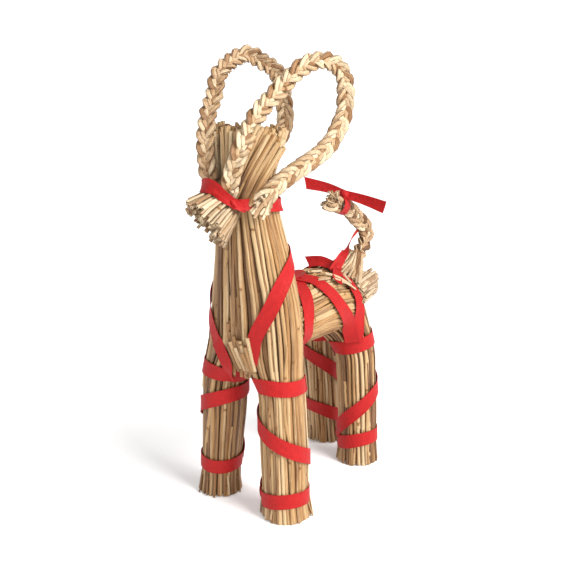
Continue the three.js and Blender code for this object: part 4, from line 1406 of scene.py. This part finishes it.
class GOAT_OT_body_ribbons(GoatOperator, Operator):
    """Lays the ribbon over the chest, girth, flanks and rump, with the bow on the back"""

    bl_idname = "straw_goat.body_ribbons"
    bl_label = "Body ribbons"

    def execute(self, context):
        width = context.scene.goat_sizes.ribbon_width / MM
        chest = Ribbon()
        points, normals = route(CHEST_RIBBON, NECK_HALVES, 150, 1.1)
        # its ends are tucked in at the fork and under the right foreleg's top turn
        first = smooth_line([(11, -63, 118), (14, -72, 122.5), (16, -77, 128), points[9]], 14)
        last = smooth_line([points[-14], (-8, -79.5, 123), (-9, -77.5, 116), (-11, -71, 108)], 10)
        points = np.vstack([first[:-1], points[9:-14], last])
        normals = np.vstack(
            [np.tile(normals[9], (13, 1)), normals[9:-14], np.tile((-0.15, -1, 0.1), (10, 1))]
        )
        widths = np.full(len(points), width)
        widths[:15] = np.linspace(2, width, 15)
        chest.strip(points, normals, widths)
        chest.finish("wound_ribbon_chest", "ribbon_chest", rests_on=["neck_and_foreleg_straws"])
        body = Ribbon()
        for mirrored in (False, True):
            body.strip(*route(GIRTH_RIBBON, TORSO_HALVES, 46, 1.5, mirrored), width)
            body.strip(*route(FLANK_RIBBON, TORSO_HALVES, 60, 2.6, mirrored), width)
            body.strip(*route(RUMP_RIBBON, TORSO_HALVES, 50, 2.2, mirrored), width)
        # the bow's two ends, and the strand that goes back to the tail
        up = np.array([0.25, -0.6, 0.75])
        left = smooth_line([(6, 51, 176), (-2, 53, 177.5), (-11, 53, 178.5), (-22, 51, 176.5)], 18)
        body.strip(left, np.tile(up, (18, 1)), np.linspace(8, 12, 18), curl=0.9, edge=0.4, cut=(0, 3.5))
        short = smooth_line([(13, 44, 176.5), (19, 34, 176.2), (26, 24, 172.5)], 10)
        body.strip(short, np.tile((0.6, 0, 0.8), (10, 1)), np.linspace(7, 9, 10), curl=0.7, cut=(0, -3))
        strand = smooth_line(BACK_STRAND, 30)
        shares = np.linspace(0, 1, 30)
        turns = np.interp(shares, [0, 0.35, 0.55, 1], [0.6, 0.9, 2.3, 3.6])
        facing = np.stack([np.cos(turns), np.full(30, -0.4), np.sin(turns)], axis=1)
        widths = np.interp(shares, [0, 0.2, 0.38, 0.55, 1], [7, 8.5, 7, 3.4, 3.0])
        body.strip(strand, facing, widths, curl=0.5)
        body.lump((8.5, 50, 176.8), (4.6, 5.2, 4.2), 0.5)
        body.finish("wound_ribbon_torso", "ribbon_torso", rests_on=["torso_and_hind_leg_straws"])
        return {"FINISHED"}


class GOAT_OT_head_ribbon(GoatOperator, Operator):
    """Ties the ribbon that pins the muzzle and the horns"""

    bl_idname = "straw_goat.head_ribbon"
    bl_label = "Head ribbon"

    def execute(self, context):
        width = context.scene.goat_sizes.ribbon_width / MM
        ribbon = Ribbon()
        places = np.array(HEAD_RIBBON, float)
        loop = smooth_line(places[:, :3], 120)
        normals = loop - HEAD_CENTRE
        normals[:, 2] = 4.0
        widths = np.interp(np.linspace(0, 1, 120), np.linspace(0, 1, len(places)), places[:, 3])
        ribbon.strip(loop, unit(normals), np.minimum(widths, width), curl=0.7, edge=0.3)
        fold = smooth_line([(-14, -95.5, 261.5), (-4, -98.2, 262), (4, -96.2, 256.5), (10, -92.5, 252)], 26)
        widths = np.interp(np.linspace(0, 1, 26), [0, 0.5, 1], [1.5, 4.5, 2])
        ribbon.strip(fold, unit(fold - HEAD_CENTRE), widths, curl=-0.6)
        ribbon.lump((10.5, -91.5, 253.2), (2.6, 2.0, 4.2), 0.5)
        under = ["neck_and_foreleg_straws", "muzzle_straws"]
        ribbon.finish("wound_ribbon_head", "ribbon_head", rests_on=under)
        return {"FINISHED"}


class GOAT_OT_tail_bow(GoatOperator, Operator):
    """Ties the bow near the end of the tail"""

    bl_idname = "straw_goat.tail_bow"
    bl_label = "Tail bow"

    def execute(self, context):
        ribbon = Ribbon()
        line = smooth_line(TAIL, 200)
        centre, tangent = line[158], unit(line[162] - line[154])
        deep = np.array(TAIL_FACING)
        deep = unit(deep - tangent * (deep @ tangent))
        wide = np.cross(tangent, deep)
        angles = np.linspace(0, 2 * math.pi, 40)
        normals = np.array([wide * math.cos(a) + deep * math.sin(a) for a in angles])
        oval = [wide * math.cos(a) * 7.4 + deep * math.sin(a) * 6 for a in angles]
        points = centre + np.array(oval)
        ribbon.strip(points, normals, 9.0)
        facing = np.array([0.1, -0.9, 0.45])
        for loose, slant in (
            ([(1, 73, 236), (-16, 72, 240), (-36, 67, 243)], 2.5),
            ([(1, 73, 236), (20, 74, 233), (43, 70, 229.5)], 1),
        ):
            line = smooth_line(loose, 14)
            widths = np.linspace(7, 10.5, 14)
            ribbon.strip(line, np.tile(facing, (14, 1)), widths, curl=0.4, cut=(0, slant))
        ribbon.lump((1, 73, 235.5), (4.8, 4, 4))
        ribbon.finish("tied_bow_tail", "bow_tail", rests_on=["tail_plait"])
        return {"FINISHED"}


LIGHT_AIM = np.array([0, 0, 0.18])  # the middle of the goat
CAMERA_PLACE = (0.45885, -0.64922, 0.3848)
CAMERA_TURN = math.radians(36)  # from the front towards the goat's left
CAMERA_TILT = math.radians(15)  # down


class GOAT_OT_stage(GoatOperator, Operator):
    """Sets the pale floor, the soft studio light and the camera"""

    bl_idname = "straw_goat.stage"
    bl_label = "Stage"

    def execute(self, context):
        deselect()
        bpy.ops.mesh.primitive_plane_add(size=160, location=(0, 0, 0))
        floor = context.object
        floor.name = "floor"
        g = Graph("pale floor")
        # the floor glows so that it reads white, and painted shadow: it glows less near the goat's feet, so
        # it is darker there
        place = g.node("TexCoord").outputs["Object"]
        away = g.node("VectorMath", place, (-0.08, -0.05, 0.0), operation="DISTANCE").outputs["Value"]
        g.surface(
            Base_Color=(*context.scene.goat_colours.floor, 1.0),
            Roughness=0.8,
            Specular_IOR_Level=0.1,
            Emission_Color=(1.0, 1.0, 1.0, 1.0),
            Emission_Strength=g.span(away, 0.08, 0.75, 0.16, 0.3),
        )
        floor.data.materials.append(g.material)
        self.light_room(context.scene)
        for name, place, size, power in (
            ("key light", (1.25, -0.24, 1.0), 0.6, 20.0),
            ("front light", (0.3, -1.3, 1.3), 1.0, 5.5),
        ):
            light = bpy.data.lights.new(name, "AREA")
            light.size = size
            light.energy = power
            add_looking(light, LIGHT_AIM - np.array(place), place)
        sun = bpy.data.lights.new("ceiling light", "SUN")
        sun.energy = 2.1
        sun.angle = 0.6
        add_looking(sun, (-0.77, -0.1, -0.85), (0, 0, 0))
        camera = bpy.data.cameras.new("camera")
        camera.sensor_width = 36
        camera.lens = 63.5
        flat = math.cos(CAMERA_TILT)
        back = (math.sin(CAMERA_TURN) * flat, -math.cos(CAMERA_TURN) * flat, math.sin(CAMERA_TILT))
        context.scene.camera = add_looking(camera, -np.array(back), CAMERA_PLACE)
        context.scene.view_settings.view_transform = "Standard"
        return {"FINISHED"}

    def light_room(self, scene):
        """A white world that lights the goat less than the camera sees of it."""
        world = bpy.data.worlds.new("studio")
        world.use_nodes = True
        scene.world = world
        nodes, links = world.node_tree.nodes, world.node_tree.links
        nodes["Background"].inputs["Color"].default_value = (1, 1, 1, 1)
        seen = nodes.new("ShaderNodeLightPath").outputs["Is Camera Ray"]
        bright = nodes.new("ShaderNodeMapRange")
        links.new(seen, bright.inputs["Value"])
        bright.inputs["To Min"].default_value = 0.53
        bright.inputs["To Max"].default_value = 1.0
        links.new(bright.outputs["Result"], nodes["Background"].inputs["Strength"])


def add_looking(data, way, place):
    """A light or camera that looks that way from its place, its top up."""
    obj = bpy.data.objects.new(data.name, data)
    bpy.context.scene.collection.objects.link(obj)
    obj.location = place
    obj.rotation_mode = "QUATERNION"
    obj.rotation_quaternion = Vector(way).to_track_quat("-Z", "Y")
    return obj


def length_setting(name, description, default, least):
    """A length that the panel shows."""
    return FloatProperty(
        name=name, description=description, default=default, min=least, unit="LENGTH"
    )


def colour_setting(name, description, default):
    """A colour that the panel shows."""
    return FloatVectorProperty(
        name=name, description=description, default=default, subtype="COLOR", min=0, max=1
    )


class GoatSizes(PropertyGroup):
    """Sizes of the goat's straws and ribbon"""

    straw_radius: length_setting("Straw radius", "Half a straw's thickness", 0.00158, 0.0005)
    straws_per_leg: IntProperty(
        name="Straws per leg", description="Straws side by side round one leg", default=44, min=12
    )
    straws_in_muzzle: IntProperty(
        name="Straws in muzzle", description="Straws in the muzzle's bundle", default=120, min=20
    )
    plait_pitch: length_setting("Plait pitch", "Length of one round of the plait", 0.027, 0.01)
    ribbon_width: length_setting("Ribbon width", "Width of the woven ribbon", 0.012, 0.003)
    ribbon_thickness: length_setting(
        "Ribbon thickness", "Thickness of the woven ribbon", 0.0004, 0.0001
    )


class GoatColours(PropertyGroup):
    """Colours of the goat's straw, ribbon and floor"""

    straw_pale: colour_setting("Pale straw", "Lightest straw", (0.56, 0.4, 0.22))
    straw_gold: colour_setting("Golden straw", "Middle tone of the straw", (0.35, 0.19, 0.075))
    straw_brown: colour_setting("Brown straw", "Darkest straw", (0.07, 0.03, 0.012))
    ribbon: colour_setting("Ribbon", "Colour of the ribbon", (0.4, 0.01, 0.01))
    floor: colour_setting("Floor", "Colour of the floor", (0.95, 0.95, 0.95))


class GOAT_PT_panel(Panel):
    """The goat's pieces, sizes and colours"""

    bl_label = "Straw goat"
    bl_idname = "GOAT_PT_panel"
    bl_space_type = "VIEW_3D"
    bl_region_type = "UI"
    bl_category = "Straw goat"

    def draw(self, context):
        layout = self.layout
        for operator in OPERATORS:
            layout.operator(operator.bl_idname)
        for group in (context.scene.goat_sizes, context.scene.goat_colours):
            for name in group.__annotations__:
                layout.prop(group, name)


OPERATORS = (
    GOAT_OT_neck,
    GOAT_OT_torso,
    GOAT_OT_muzzle,
    GOAT_OT_horns,
    GOAT_OT_tail,
    GOAT_OT_leg_ribbons,
    GOAT_OT_body_ribbons,
    GOAT_OT_head_ribbon,
    GOAT_OT_tail_bow,
    GOAT_OT_stage,
)
CLASSES = (GoatSizes, GoatColours, *OPERATORS, GOAT_PT_panel)


def register():
    """Registers the goat's classes and settings."""
    for cls in CLASSES:
        bpy.utils.register_class(cls)
    bpy.types.Scene.goat_sizes = PointerProperty(type=GoatSizes)
    bpy.types.Scene.goat_colours = PointerProperty(type=GoatColours)


def unregister():
    """Removes the goat's classes and settings."""
    del bpy.types.Scene.goat_colours
    del bpy.types.Scene.goat_sizes
    for cls in reversed(CLASSES):
        bpy.utils.unregister_class(cls)


def main():
    """Builds every piece in order."""
    register()
    for operator in OPERATORS:
        group, name = operator.bl_idname.split(".")
        getattr(getattr(bpy.ops, group), name)()


if __name__ == "__main__":
    main()
